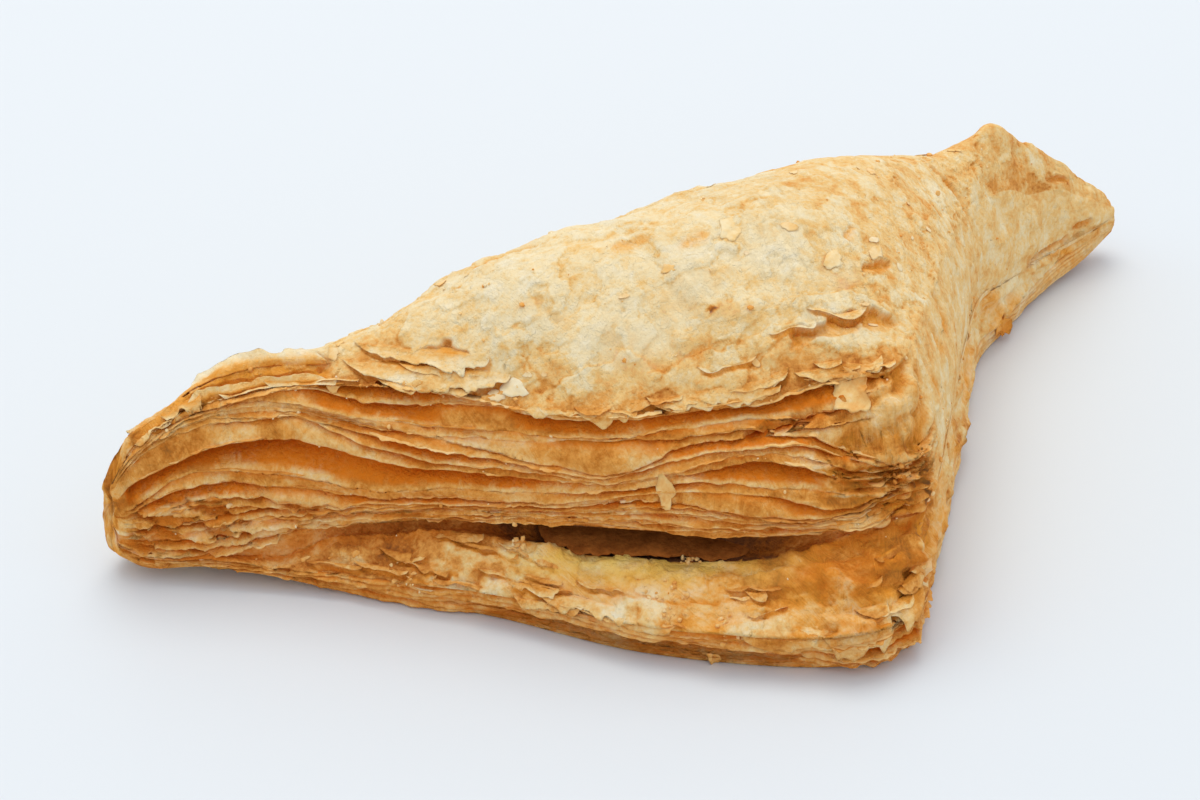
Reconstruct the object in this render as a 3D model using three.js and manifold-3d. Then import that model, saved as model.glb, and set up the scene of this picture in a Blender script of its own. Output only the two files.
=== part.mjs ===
// A baked puff pastry turnover: a square of laminated dough folded over a filling into a triangle.
// Millimetres, +Z up. X runs along the folded edge, the square corner points towards -Y, and the
// origin is at the bottom centre of the bounding box.
import * as THREE from "three";
import { mergeVertices } from "three/addons/utils/BufferGeometryUtils.js";
import Module from "manifold-3d";

const wasm = await Module();
wasm.setup();

// Driving dimensions.
const ribsPerSpan = 4; // ribs lofted between two stations
const pointsPerSpan = 2; // points between two knots of a rib
const leafCount = 5; // ledges of parted leaves on the cut face of the upper flap
const leafStep = 0.9; // how far each ledge stands out
const roundRib = 20; // a rib shorter than this has all its corners scaled down
const fillingGap = 0.35; // air between the filling and the crust around it
const fillingFirst = 3; // the filling starts at this station
const fillingLast = 10; // and ends at this one
const fillingSides = 20; // points round one rib of the filling
const fillingRibs = 3; // ribs of the filling between two stations
const wallBelow = 7; // crust under the filling
const wallAbove = 9; // crust over the filling
const wallFront = 4.5; // crust between the upper flap's foot and the filling
const wallBack = 12; // crust between the filling and the fold
const weldDistance = 1e-4;
const crustColour = 0xe2b271;
const fillingColour = 0x7d4a28;

// The slit where the two flaps have parted in the oven, as a flat lens turned along the cut side.
const mouth = {
  x: -30,
  y: -45.5,
  z: 11.4,
  turn: -34.5,
  halfLength: 23,
  halfDepth: 9,
  halfHeight: 2,
};

// The filling bulges into the slit as a smaller lens, this far in from the slit's middle.
const bulge = { inward: 10.5, halfLength: 18, halfDepth: 8, halfHeight: 1.8 };

// The stations go from the left tip round the square corner to the right tip. foot and fold are
// where the rib meets the table on the cut side and at the folded edge. lift is how high that foot
// floats, lip is the height of the lower flap's edge, and leaves is how far the leaves have parted.
// base is the height of the upper flap's foot, shoulder of its upper rim, and crown of the top.
// baseIn and shoulderIn are how far the foot and the rim stand back from the front foot.
const stations = [
  { foot: [-85, -2.5], fold: [-85.5, 0.5], lift: 5.5, lip: 8, leaves: 1,
    baseIn: 0.2, base: 7.5, shoulderIn: 0.8, shoulder: 14, crown: 16 },
  { foot: [-82, -5.5], fold: [-82, 2.5], lift: 2.2, lip: 5, leaves: 1,
    baseIn: 0.2, base: 4.4, shoulderIn: 3.5, shoulder: 18.8, crown: 20.8 },
  { foot: [-75, -11], fold: [-74, 3.5], lift: 1.1, lip: 4, leaves: 1,
    baseIn: 0.6, base: 3.8, shoulderIn: 8.5, shoulder: 22, crown: 24 },
  { foot: [-62, -22], fold: [-61, 4], lift: 0, lip: 3.6, leaves: 1,
    baseIn: 5, base: 8, shoulderIn: 13, shoulder: 24, crown: 26.5 },
  { foot: [-47, -38], fold: [-45, 4], lift: 0, lip: 4.5, leaves: 1,
    baseIn: 7.5, base: 11.8, shoulderIn: 15, shoulder: 25.5, crown: 33 },
  { foot: [-34, -57], fold: [-31, 4.5], lift: 0, lip: 5, leaves: 1,
    baseIn: 13.5, base: 13, shoulderIn: 18.5, shoulder: 26.5, crown: 40 },
  { foot: [-14, -71], fold: [-13, 4.5], lift: 0, lip: 5.5, leaves: 1,
    baseIn: 13, base: 13.2, shoulderIn: 23.5, shoulder: 29, crown: 43 },
  { foot: [-3, -71.2], fold: [0, 4.5], lift: 0, lip: 6.5, leaves: 0.9,
    baseIn: 8.5, base: 15, shoulderIn: 20, shoulder: 31, crown: 43.5 },
  { foot: [4, -65.5], fold: [10, 4.5], lift: 0, lip: 6.5, leaves: 0.5,
    baseIn: 1, base: 16, shoulderIn: 11, shoulder: 31.5, crown: 43.5 },
  { foot: [18.5, -50.5], fold: [22, 5], lift: 0, lip: 5, leaves: 0.3,
    baseIn: 1.2, base: 15, shoulderIn: 8.5, shoulder: 31, crown: 41 },
  { foot: [35, -32], fold: [38, 5.5], lift: 0, lip: 4.5, leaves: 0.4,
    baseIn: 1.5, base: 13, shoulderIn: 7, shoulder: 28, crown: 36 },
  { foot: [49, -17], fold: [51, 6], lift: 0, lip: 4, leaves: 0.5,
    baseIn: 0.8, base: 11, shoulderIn: 5, shoulder: 24.5, crown: 31 },
  { foot: [57, -12], fold: [58.5, 5.5], lift: 0, lip: 3.8, leaves: 0.6,
    baseIn: 0.8, base: 9, shoulderIn: 4, shoulder: 23, crown: 32 },
  { foot: [65, -8.5], fold: [66.5, 5.5], lift: 0, lip: 3.5, leaves: 0.7,
    baseIn: 0.8, base: 7.5, shoulderIn: 3.2, shoulder: 18.5, crown: 26 },
  { foot: [72, -6], fold: [73, 5.5], lift: 0.1, lip: 3.2, leaves: 0.8,
    baseIn: 0.6, base: 6.5, shoulderIn: 2.6, shoulder: 16.5, crown: 22.5 },
  { foot: [79, -3.6], fold: [80, 4.5], lift: 0.5, lip: 3.4, leaves: 0.8,
    baseIn: 0.4, base: 5.5, shoulderIn: 1.8, shoulder: 12.5, crown: 15.5 },
  { foot: [85.2, -1.6], fold: [86, 2.8], lift: 2.2, lip: 4, leaves: 0.6,
    baseIn: 0.2, base: 5, shoulderIn: 0.7, shoulder: 8.4, crown: 9.4 },
];

const mix = (a, b, share) => a + (b - a) * share;

const ribLength = ({ foot, fold }) => Math.hypot(fold[0] - foot[0], fold[1] - foot[1]);

// The knots of one rib, as distance in from the front foot and height, from the sole round the cut
// side, over the crown and down the fold.
function ribKnots(station, length) {
  const { lift, lip, leaves, baseIn, base, shoulderIn, shoulder, crown } = station;
  const soft = Math.min(1, length / roundRib);
  const knots = [
    [mix(0, length, 0.5), lift * 0.9],
    [2.2 * soft, lift * 0.9],
    [0.2 * soft, lift + 1.2 * soft],
    [-0.8 * soft, mix(lift, lip, 0.8)],
    [baseIn * 0.35, mix(lip, base, 0.35)],
    [baseIn + 0.8 * soft * leaves, base - 1.6 * soft],
  ];
  for (let i = 0; i < leafCount; i++) {
    const rise = (i + 0.2) / leafCount;
    const belly = Math.sin(Math.PI * rise) * 1.2 * soft;
    const inward = mix(baseIn, shoulderIn, rise ** 1.3) - belly;
    knots.push([inward, mix(base, shoulder, rise)]);
    knots.push([inward + leafStep * soft * leaves, mix(base, shoulder, rise + 0.6 / leafCount)]);
  }
  const crownIn = mix(shoulderIn, length, 0.46);
  knots.push(
    [shoulderIn + 0.6 * soft, shoulder],
    [mix(shoulderIn, crownIn, 0.45), mix(shoulder, crown, 0.62)],
    [crownIn, crown],
    [mix(crownIn, length, 0.55), mix(lift, crown, 0.87)],
    [length - 2.2 * soft, mix(lift, crown, 0.6)],
    [length + 0.8 * soft, mix(lift, crown, 0.32)],
    [length, lift + 1.4 * soft],
    [length - 2.6 * soft, lift * 0.9],
  );
  return knots;
}

// A point of a rib, given how far in from the front foot it is and how high.
function ribPoint(station, inward, height) {
  const [footX, footY] = station.foot;
  const [foldX, foldY] = station.fold;
  const share = inward / ribLength(station);
  return new THREE.Vector3(mix(footX, foldX, share), mix(footY, foldY, share), height);
}

// Splines each point of the rings along the part and gives closer rings.
function loftRings(rings, ringsPerSpan) {
  const lines = rings[0].map((_, j) => {
    const line = rings.map((ring) => ring[j]);
    return new THREE.CatmullRomCurve3(line, false, "centripetal");
  });
  const count = (rings.length - 1) * ringsPerSpan;
  return Array.from({ length: count + 1 }, (_, i) => lines.map((line) => line.getPoint(i / count)));
}

// A closed skin over rings of equal count, with both ends zipped shut across their middle.
function skinOverRings(rings) {
  const round = rings[0].length;
  const last = (rings.length - 1) * round;
  const faces = [];
  for (let i = 0; i < last; i += round) {
    for (let j = 0; j < round; j++) {
      const next = (j + 1) % round;
      const [a, b, c, d] = [i + j, i + next, i + round + next, i + round + j];
      faces.push(a, c, b, a, d, c);
    }
  }
  for (let j = 0; j < round / 2 - 1; j++) {
    const [a, b, c, d] = [j, j + 1, round - 2 - j, round - 1 - j];
    for (const [p, q, r] of [[a, b, c], [a, c, d]]) {
      if (p === q || q === r || r === p) continue;
      faces.push(p, q, r);
      faces.push(last + p, last + r, last + q);
    }
  }
  const points = rings.flat().flatMap((point) => point.toArray());
  const geometry = new THREE.BufferGeometry();
  geometry.setAttribute("position", new THREE.Float32BufferAttribute(points, 3));
  geometry.setIndex(faces);
  return geometry;
}

function solidOf(geometry) {
  const bare = geometry.clone().deleteAttribute("normal").deleteAttribute("uv");
  const merged = mergeVertices(bare, weldDistance);
  const mesh = new wasm.Mesh({
    numProp: 3,
    vertProperties: new Float32Array(merged.attributes.position.array),
    triVerts: new Uint32Array(merged.index.array),
  });
  return new wasm.Manifold(mesh);
}

function geometryOf(solid) {
  const { vertProperties, triVerts } = solid.getMesh();
  const geometry = new THREE.BufferGeometry();
  geometry.setAttribute("position", new THREE.BufferAttribute(vertProperties, 3));
  geometry.setIndex(new THREE.BufferAttribute(triVerts, 1));
  geometry.computeVertexNormals();
  return geometry;
}

// The crust as if it had no filling: ribs rounded off between their knots, flat where they rest.
function crustOutside() {
  const knotRings = stations.map((station) => {
    const knots = ribKnots(station, ribLength(station));
    return knots.map(([inward, height]) => ribPoint(station, inward, height));
  });
  const rings = loftRings(knotRings, ribsPerSpan).map((knots) => {
    const rib = new THREE.CatmullRomCurve3(knots, true, "centripetal");
    const count = knots.length * pointsPerSpan;
    return Array.from({ length: count }, (_, j) => {
      const point = rib.getPoint(j / count);
      point.z = Math.max(point.z, 0);
      return point;
    });
  });
  return skinOverRings(rings);
}

// A flat lens that lies along the slit.
function slitLens(halfLength, halfDepth, halfHeight, inward) {
  const lens = new THREE.SphereGeometry(1, 32, 16);
  lens.scale(halfLength, halfDepth, halfHeight);
  lens.translate(0, inward, 0);
  lens.rotateZ(THREE.MathUtils.degToRad(mouth.turn));
  lens.translate(mouth.x, mouth.y, mouth.z);
  return solidOf(lens);
}

const mouthLens = () => slitLens(mouth.halfLength, mouth.halfDepth, mouth.halfHeight, 0);

// The filling is a pillow that keeps the crust's wall on every side, with a bulge into the slit.
// swell is how far it is grown.
function fillingSolid(swell) {
  const inner = stations.slice(fillingFirst, fillingLast + 1);
  const rings = inner.map((station, i) => {
    const end = Math.sin((Math.PI * (i + 0.35)) / (inner.length - 0.3)) ** 0.6; // closes both ends
    const near = station.baseIn + wallFront;
    const far = ribLength(station) - wallBack;
    const deep = station.crown - wallAbove - wallBelow;
    const middleIn = mix(near, far, 0.5);
    const middleUp = wallBelow + deep * 0.36;
    const halfIn = (middleIn - near) * end + swell;
    const above = deep * 0.56 * end + swell;
    const below = deep * 0.34 * end + swell;
    return Array.from({ length: fillingSides }, (_, j) => {
      const angle = (2 * Math.PI * (j + 0.5)) / fillingSides;
      const up = -Math.cos(angle);
      const height = middleUp + up * (up > 0 ? above : below);
      return ribPoint(station, middleIn - halfIn * Math.sin(angle), height);
    });
  });
  const pillow = solidOf(skinOverRings(loftRings(rings, fillingRibs)));
  const { halfLength, halfDepth, halfHeight, inward } = bulge;
  return pillow.add(slitLens(halfLength + swell, halfDepth + swell, halfHeight + swell, inward));
}

const hollow = fillingSolid(fillingGap).add(mouthLens());

const crust = new THREE.Mesh(
  geometryOf(solidOf(crustOutside()).subtract(hollow)),
  new THREE.MeshStandardMaterial({ color: crustColour, roughness: 0.7, metalness: 0 }),
);
crust.name = "pastry_crust";

const filling = new THREE.Mesh(
  geometryOf(fillingSolid(0)),
  new THREE.MeshStandardMaterial({ color: fillingColour, roughness: 0.6, metalness: 0 }),
);
filling.name = "filling";

const turnover = new THREE.Group();
turnover.add(crust, filling);
const box = new THREE.Box3().setFromObject(turnover);
const centre = box.getCenter(new THREE.Vector3());
turnover.position.set(-centre.x, -centre.y, -box.min.z);

export default turnover;
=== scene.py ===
import math
from types import SimpleNamespace

import bmesh
import bpy
import numpy as np
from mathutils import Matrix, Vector
from mathutils.bvhtree import BVHTree


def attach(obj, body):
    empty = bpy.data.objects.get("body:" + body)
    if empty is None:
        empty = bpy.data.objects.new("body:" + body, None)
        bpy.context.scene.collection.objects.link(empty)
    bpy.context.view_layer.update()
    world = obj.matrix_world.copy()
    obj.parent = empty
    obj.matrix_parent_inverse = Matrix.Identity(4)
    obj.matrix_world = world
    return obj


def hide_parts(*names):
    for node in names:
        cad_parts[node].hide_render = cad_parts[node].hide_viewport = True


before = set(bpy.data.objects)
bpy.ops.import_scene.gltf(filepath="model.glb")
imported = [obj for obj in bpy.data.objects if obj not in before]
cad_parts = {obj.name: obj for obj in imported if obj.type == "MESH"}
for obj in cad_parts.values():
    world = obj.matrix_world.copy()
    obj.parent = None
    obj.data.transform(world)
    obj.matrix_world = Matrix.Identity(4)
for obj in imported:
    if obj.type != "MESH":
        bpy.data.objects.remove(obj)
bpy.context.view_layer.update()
mm = 0.001  # shapes are worked out in millimetres and scaled once, when a mesh is made

# Where the seeds of each kind of thing start. Every other noise has a seed of its own where it is used.
firstSeed = {
    "tears": 300,
    "spots": 400,
    "sheets": 600,
    "scatteredSheets": 61,
    "namedFlakes": 500,
    "scatteredFlakes": 700,
}


def table(names, rows):  # a dictionary for each row
    return [dict(zip(names.split(), row)) for row in rows]


def placed(name, data):  # a new object that holds the data, linked into the scene
    made = bpy.data.objects.new(name, data)
    bpy.context.scene.collection.objects.link(made)
    return made


# The turnover's form, one row for each cut across it, from the left tip round the square corner to
# the right tip: foot x, y and fold x, y on the table, how high the foot floats, height of the lower
# flap's lip, setback and height of the upper flap's foot, setback and height of its rim, crown.
cuts = [
    (-85.1, 30.2, -85.6, 33.6, 3.6, 4.8, 0.2, 5.2, 0.8, 14.6, 15.8),
    (-82.3, 27.2, -82.3, 35.6, 2.0, 3.8, 0.2, 4.0, 3.5, 19.0, 20.4),
    (-75.3, 22.4, -74.3, 36.4, 2.2, 3.8, 0.4, 4.2, 8.2, 22.2, 24.2),
    (-62.3, 11.2, -61.3, 36.9, 0.3, 3.6, 4.7, 8.0, 12.7, 25.9, 27.9),
    (-55.0, 3.4, -53.5, 36.9, 0.0, 4.0, 6.2, 10.0, 13.8, 27.0, 28.6),
    (-47.3, -5.0, -45.3, 36.9, 0.0, 4.5, 7.4, 11.8, 15.0, 27.0, 31.8),
    (-34.3, -22.8, -31.3, 37.4, 0.0, 5.0, 12.2, 13.2, 17.2, 27.0, 39.6),
    (-14.3, -38.4, -13.3, 37.4, 0.0, 5.5, 12.3, 14.0, 22.8, 29.0, 42.8),
    (-4.3, -38.8, -0.6, 37.4, 0.0, 6.5, 8.5, 15.3, 20.0, 31.0, 43.2),
    (3.0, -31.8, 9.7, 37.4, 0.0, 6.5, 1.0, 16.0, 10.3, 31.5, 43.2),
    (17.5, -16.8, 21.7, 37.9, 0.0, 5.0, 1.2, 15.0, 8.0, 31.0, 40.6),
    (34.0, 1.6, 37.7, 38.4, 0.0, 4.5, 1.5, 13.0, 6.6, 28.0, 34.8),
    (48.0, 16.5, 50.7, 38.9, 0.0, 4.0, 0.8, 11.0, 4.6, 24.0, 28.4),
    (56.4, 21.4, 58.2, 38.4, 0.0, 3.8, 0.8, 9.0, 4.0, 22.0, 30.4),
    (60.6, 23.6, 62.3, 38.4, 0.1, 3.9, 0.7, 8.2, 3.5, 20.5, 30.4),
    (64.5, 25.6, 66.2, 38.4, 0.3, 4.0, 0.7, 7.5, 3.0, 18.0, 25.0),
    (71.7, 28.4, 72.7, 38.4, 1.0, 4.6, 0.5, 6.8, 2.4, 16.0, 21.5),
    (78.7, 30.2, 79.7, 37.4, 1.9, 5.2, 0.3, 7.0, 1.6, 12.6, 16.0),
    (84.9, 31.6, 85.7, 35.7, 4.8, 6.6, 0.2, 7.4, 0.6, 8.8, 9.7),
]

body = {
    "ringStep": 0.35,  # between rings on the side that opened
    "ringStepFar": 0.6,  # between rings past the square corner
    "cornerX": 7.0,  # where the square corner ends
    "tipRound": 1.1,  # how far both tips are rounded off
    "tipRings": 6,  # rings that close a tip
    "soleLine": 10,  # samples across each stretch of the outline
    "lowerTop": 30,  # the same for the other stretches
    "slotLine": 5,
    "skinLine": 132,
    "foldLine": 30,
    "calming": 40,  # rounds of smoothing that take the ridges out of the top
    "trianglesKept": 194000,
}

# The lines that bound the main bundles of leaves on the upper flap's cut face: how many leaves lie up
# to the next line, between which x the lowest of them is a thick one, and the line itself, x along the
# face with height from the flap's foot (0) to its rim (1).
bundles = table("leaves thick line", [
    (7, None, [(-90, 0.0), (90, 0.0)]),
    (2, None, [
        (-86, 0.38), (-80, 0.42), (-76, 0.445), (-71.6, 0.425), (-67.8, 0.335), (-63.8, 0.23),
        (-59.8, 0.175), (-54, 0.165), (-49, 0.16), (-44, 0.165), (-38.7, 0.205), (-32, 0.3), (-26, 0.3),
        (-19.5, 0.225), (-12, 0.15), (-7, 0.145), (-4, 0.2), (3, 0.3), (90, 0.3),
    ]),
    (1, None, [
        (-86, 0.48), (-83.3, 0.52), (-82, 0.55), (-78.7, 0.62), (-75, 0.625), (-72.3, 0.605),
        (-69.2, 0.535), (-64.7, 0.445), (-59.6, 0.33), (-56, 0.275), (-52.4, 0.27), (-48.7, 0.29),
        (-44.4, 0.285), (-38, 0.36), (-32, 0.43), (-26.5, 0.48), (-20, 0.46), (-12.7, 0.38), (-8.6, 0.3),
        (-4, 0.27), (3, 0.35), (90, 0.4),
    ]),
    (3, (-95, -58), [
        (-86, 0.72), (-83.7, 0.74), (-77.3, 0.73), (-73.2, 0.745), (-68.8, 0.735), (-63.8, 0.685),
        (-60.9, 0.625), (-57.5, 0.55), (-54.2, 0.51), (-50.9, 0.445), (-44, 0.445), (-38, 0.46),
        (-34, 0.47), (-26.5, 0.54), (-22, 0.58), (-18, 0.62), (-15, 0.61), (-12, 0.55), (-8.6, 0.43),
        (-4, 0.33), (3, 0.4), (90, 0.5),
    ]),
    (2, (-40, -26), [
        (-86, 0.93), (-76.7, 0.95), (-72, 0.945), (-68, 0.905), (-63, 0.855), (-60, 0.79), (-56.8, 0.735),
        (-52.6, 0.695), (-50, 0.665), (-44, 0.63), (-40, 0.61), (-36, 0.55), (-34, 0.545), (-30, 0.645),
        (-26.5, 0.74), (-22, 0.78), (-14.7, 0.775), (-9.7, 0.705), (-5.4, 0.53), (-2, 0.42), (3, 0.45),
        (90, 0.7),
    ]),
    (1, None, [
        (-86, 0.965), (-72, 0.965), (-66, 0.94), (-62, 0.9), (-58, 0.82), (-54, 0.77), (-50, 0.75),
        (-46, 0.78), (-42, 0.82), (-38, 0.83), (-35, 0.85), (-30, 0.865), (-27, 0.88), (-17, 0.88),
        (-11.8, 0.85), (-6.7, 0.84), (-3, 0.87), (2, 0.95), (90, 0.95),
    ]),
    (1, None, [
        (-86, 0.985), (-64, 0.985), (-60, 0.95), (-56, 0.88), (-50, 0.88), (-47, 0.92), (-43, 0.98),
        (90, 0.98),
    ]),
    (0, None, [(-90, 1.0), (90, 1.0)]),
])

# Outlines of one leaf from its lower edge to the crease under the next, height share and depth
# share: a thin leaf, a thick puffed one, one with an open gap over it, and one of the lower flap.
thinLeaf = [
    (-0.05, 0.03), (0.03, 0.0), (0.15, 0.02), (0.3, 0.1), (0.48, 0.28), (0.66, 0.52), (0.84, 0.8),
    (0.97, 1.0),
]
thickLeaf = [
    (-0.03, 0.4), (0.03, 0.16), (0.14, 0.03), (0.34, -0.04), (0.56, 0.04), (0.76, 0.24), (0.9, 0.6),
    (0.98, 1.0),
]
openLeaf = [
    (-0.05, 0.03), (0.03, 0.0), (0.14, 0.04), (0.28, 0.14), (0.42, 0.3), (0.57, 0.55), (0.73, 0.82),
    (0.93, 1.0),
]
lowerLeaf = [
    (-0.05, 0.02), (0.06, 0.0), (0.3, 0.03), (0.55, 0.3), (0.8, 0.65), (0.96, 1.0),
]

face = {
    "depth": 0.8,  # usual depth between two leaves
    "depthChange": 1.3,  # how much that varies
    "ragged": 0.3,  # how far an edge wanders in and out
    "crinkle": 0.07,  # how far it wanders up and down, in short waves
    "sway": 0.24,  # the same in long waves
    "upperEnd": -3.5,  # where the leaves over the main bundle run out
    "lowerEnd": 0.5,  # where the others are pinched together
    "tip": (-84.6, -83.4),  # between which x they start at the left tip
    "nose": (-56, -64),  # between which x the lower bundles turn into fine ragged leaves
}

# Deep gaps of the upper flap: over which leaf, around which x, how far and how deep.
gaps = table("leaf x reach deep", [
    (9, -73, 15, 7.5),
    (9, -52, 14, 2.8),
    (9, -17, 10, 3.2),
    (7, -76, 9, 3.4),
    (7, -52, 14, 1.3),
    (6, -30, 16, 1.6),
    (8, -30, 10, 1.6),
    (4, -10, 10, 1.4),
    (7, -11, 9, 1.9),
    (11, -12, 9, 1.5),
    (12, -20, 14, 2.2),
    (11, -47, 9, 1.6),
    (12, -56, 7, 1.6),
    (15, -54, 8, 3.4),
    (16, -54, 9, 2.0),
    (15, -36, 7, 3.2),
    (15, -22, 10, 3.4),
    (15, -9, 11, 3.6),
])

lowerEdge = {
    "leaves": 5,
    "depth": 0.4,
    "corner": {"x": -7, "reach": 14, "deep": 2.6},  # open leaves at the square corner
    "nose": {"x": -76, "reach": 13, "deep": 0.9},  # fine leaves at the left tip
    "tuck": {"x": -33, "reach": 20, "deep": 3.0},  # where the lip overhangs
}

# Where the flaps gape, and how deep the sealed rest is. On the left they stay ajar, by a share of that.
mouth = {"x": -29.5, "reach": 22, "deep": 8.0, "open": 3.5, "seal": 0.9}
mouthEnd = {"x": -53, "reach": 11, "share": 0.3}

# Places where the outer sheet has torn off: middle, reach along and across in mm, turn in degrees,
# depth, how brown it is under it, and how soft its edge is, from 0 for soft to 1 for sharp.
tears = table("at along across turn deep toast soft", [
    ((-63.5, 27.4, 25.4), 7.5, 0.7, 4, 0.8, 0.3, 0.3),
    ((-60.5, 28.8, 27.0), 3.6, 2.2, 4, 0.6, 0.08, 0.1),
    ((-45.3, 13.8, 30.4), 5.8, 2.0, -4, 1.1, 0.42, 0.75),
    ((-43.5, 8.0, 28.2), 4.6, 2.2, 0, 0.6, 0.05, 0.6),
    ((-1, -13.7, 34.8), 8.8, 2.0, 4, 1.2, 0.42, 0.75),
    ((12.7, -6.3, 37.7), 3.4, 1.2, -25, 0.9, 0.5, 0.7),
    ((-11.6, 4.4, 42.9), 3.4, 1.8, 10, 0.15, 0.2, 0.5),
    ((-19.5, 9.2, 42.9), 4.2, 1.5, 0, 0.15, 0.15, 0.5),
    ((-4.0, -26.0, 25.5), 5.0, 0.45, 20, 0.8, 0.4, 0.3),
    ((1.5, -27.0, 24.0), 4.0, 0.4, -35, 0.7, 0.4, 0.3),
    ((0.5, -30.5, 17.0), 3.5, 0.4, 15, 0.6, 0.4, 0.3),
    ((-0.6, -25.9, 25.3), 7.5, 1.0, 21, 1.4, 0.45, 0.4),
    ((-10.9, -19.2, 26.3), 9.0, 1.1, 10, 1.8, 0.5, 0.4),
    ((10.5, -2.0, 41.5), 2.2, 0.7, 20, 0.3, 0.25, 0.7),
    ((45.3, 20.5, 27.8), 1.1, 5.5, 8, 1.0, 0.42, 0.3),
    ((73.0, 30.3, 17.8), 3.4, 0.8, 6, 0.9, 0.42, 0.4),
    ((68.8, 26.9, 7.6), 7.0, 0.9, 3, 1.5, 0.55, 0.3),
    ((77.4, 28.9, 8.6), 2.4, 0.9, 3, 1.6, 0.7, 0.3),
    ((17.6, -12.4, 27), 1.3, 4.6, 10, 0.5, 0.42, 0.2),
    ((22.0, -7.8, 27), 1.2, 3.8, -12, 0.5, 0.42, 0.2),
    ((12.0, -18.0, 24), 1.2, 4.6, 8, 0.5, 0.42, 0.2),
    ((-30, 30, 34), 6, 3, 30, 0.25, 0.15, 0.8),
    ((22, 28, 36), 5, 2.4, -25, 0.25, 0.15, 0.8),
])

# Large torn sheets that still hang on the crust. Each runs between two x along the foot, from its
# root to its free edge, both in mm from the rim (skin) or from the lip (lowerTop).
sheets = table("on x root edge lift ragged toast inner", [
    ("skin", (-83, -56.8), 4.6, 8.4, 1.4, 0.5, (0.32, 0.16), 0.3),
    ("skin", (-75, -57.6), 0.8, 2.4, 0.4, 0.5, (0.44, 0.38), 0.3),
    ("skin", (-55.6, -40), 5.5, 0.9, 0.7, 0.3, (0.3, 0.3), 0.2),
    ("skin", (-53, -44), 2.0, -0.6, 0.5, 0.4, (0.4, 0.36), 0.3),
    ("skin", (-41, -26), 2.5, -0.2, 0.3, 0.45, (0.4, 0.38), 0.15),
    ("skin", (-27, -9), 3.0, -0.2, 0.3, 0.45, (0.4, 0.38), 0.15),
    ("skin", (-9, 2), 2.4, -0.2, 0.3, 0.45, (0.4, 0.4), 0.15),
    ("lowerTop", (-44, -31), 3.0, -0.3, 0.35, 0.6, (0.5, 0.44), 0.2),
    ("lowerTop", (-21, -8), 3.4, -0.8, 0.6, 0.8, (0.5, 0.42), 0.25),
    ("lowerTop", (-13, -2), 2.4, -0.9, 0.5, 0.8, (0.5, 0.42), 0.3),
])
sheetThick = 0.13
sheetSteps = 12  # samples from a sheet's root to its free edge

# Edges of the outer sheet that stand over the tears of the top, in the same terms.
overTears = table("on x root edge lift ragged toast inner", [
    ("skin", (-53, -41), 8.6, 5.6, 0.5, 0.6, (0.24, 0.2), 0.1),
    ("skin", (-50, -45), 5.2, 3.4, 0.3, 0.6, (0.34, 0.3), 0.2),
    ("skin", (-10, -3), 8.4, 7.2, 0.3, 0.4, (0.26, 0.2), 0.1),
    ("skin", (-4, 4.5), 10.4, 9.2, 0.3, 0.4, (0.26, 0.2), 0.1),
    ("skin", (-20, -12), 5.8, 4.8, 0.2, 0.5, (0.3, 0.26), 0.1),
])

# Short torn sheets in plenty: how many, between which x, how long, how far in they start and reach.
tornSheets = table("on count x long root reach lift toast", [
    ("skin", 18, (-84, -4), (3, 9), (0.8, 2.6), (-2.0, -0.8), 0.35, (0.34, 0.5)),
    ("lowerTop", 18, (-66, -6), (3, 9), (0.6, 3.4), (-1.8, -0.8), 0.35, (0.46, 0.6)),
    ("lowerTop", 9, (-60, -28), (3, 9), (3, 10), (-1.6, -0.8), 0.2, (0.42, 0.56)),
    ("lowerTop", 14, (-26, 0), (2.5, 7), (2, 12), (-1.6, -0.8), 0.25, (0.5, 0.66)),
])


def scatteredSheets():
    rng = np.random.default_rng(firstSeed["scatteredSheets"])
    made = []
    for kind in tornSheets:
        for _ in range(kind["count"]):
            left, root = rng.uniform(*kind["x"]), rng.uniform(*kind["root"])
            tone = rng.uniform(*kind["toast"])
            made.append({
                "on": kind["on"],
                "x": (left, left + rng.uniform(*kind["long"])),
                "root": root,
                "edge": root + rng.uniform(*kind["reach"]),
                "lift": kind["lift"] * rng.uniform(0.5, 1.3),
                "ragged": 0.7,
                "toast": (tone, tone - 0.06),
                "inner": rng.uniform(0, 0.25),
            })
    return made


sheets += scatteredSheets() + overTears


def sheetSeed(number):
    return firstSeed["sheets"] + number * 9


# Single bumps and hollows of the crust: where, how wide and how high.
dents = table("at reach high", [
    ((64.8, 31.0, 24.5), 2.2, -0.7),
    ((-1.4, -29.0, 20.3), 1.3, -1.4),
    ((-56.6, 24.5, 27.6), 1.5, -0.9),
    ((-10, -36, 7.5), 3.0, -0.3),
])

# Places that baked darker, or stayed pale and floury.
spots = table("at along across turn toast powder", [
    ((-1.4, -29.2, 20.0), 3.0, 1.8, 6, 0.3, 0),
    ((3.8, -31.6, 18.8), 0.5, 2.8, -25, 0.6, 0),
    ((-1.3, -37.4, 7.2), 3.0, 1.3, 0, 0.26, 0),
    ((-3.5, -34.0, 10.5), 2.4, 1.2, 30, 0.2, 0),
    ((-13.8, -4.7, 37.3), 0.9, 0.45, 10, 0.6, 0),
    ((0.5, -22.5, 28.5), 7.0, 3.2, 8, 0.03, 0),
    ((-4.0, -34.0, 11.0), 4.5, 3.0, 0, 0.1, 0),
    ((-18, -24, 10.2), 2.2, 0.7, 30, 0.3, 0),
    ((-26.2, -1.6, 35.0), 9, 5, 0, -0.1, 0.45),
    ((-8, 1.0, 40.5), 13, 5, 0, -0.1, 0.4),
    ((4.7, -7.1, 39.0), 5, 3, 0, 0, 0.4),
])


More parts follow.
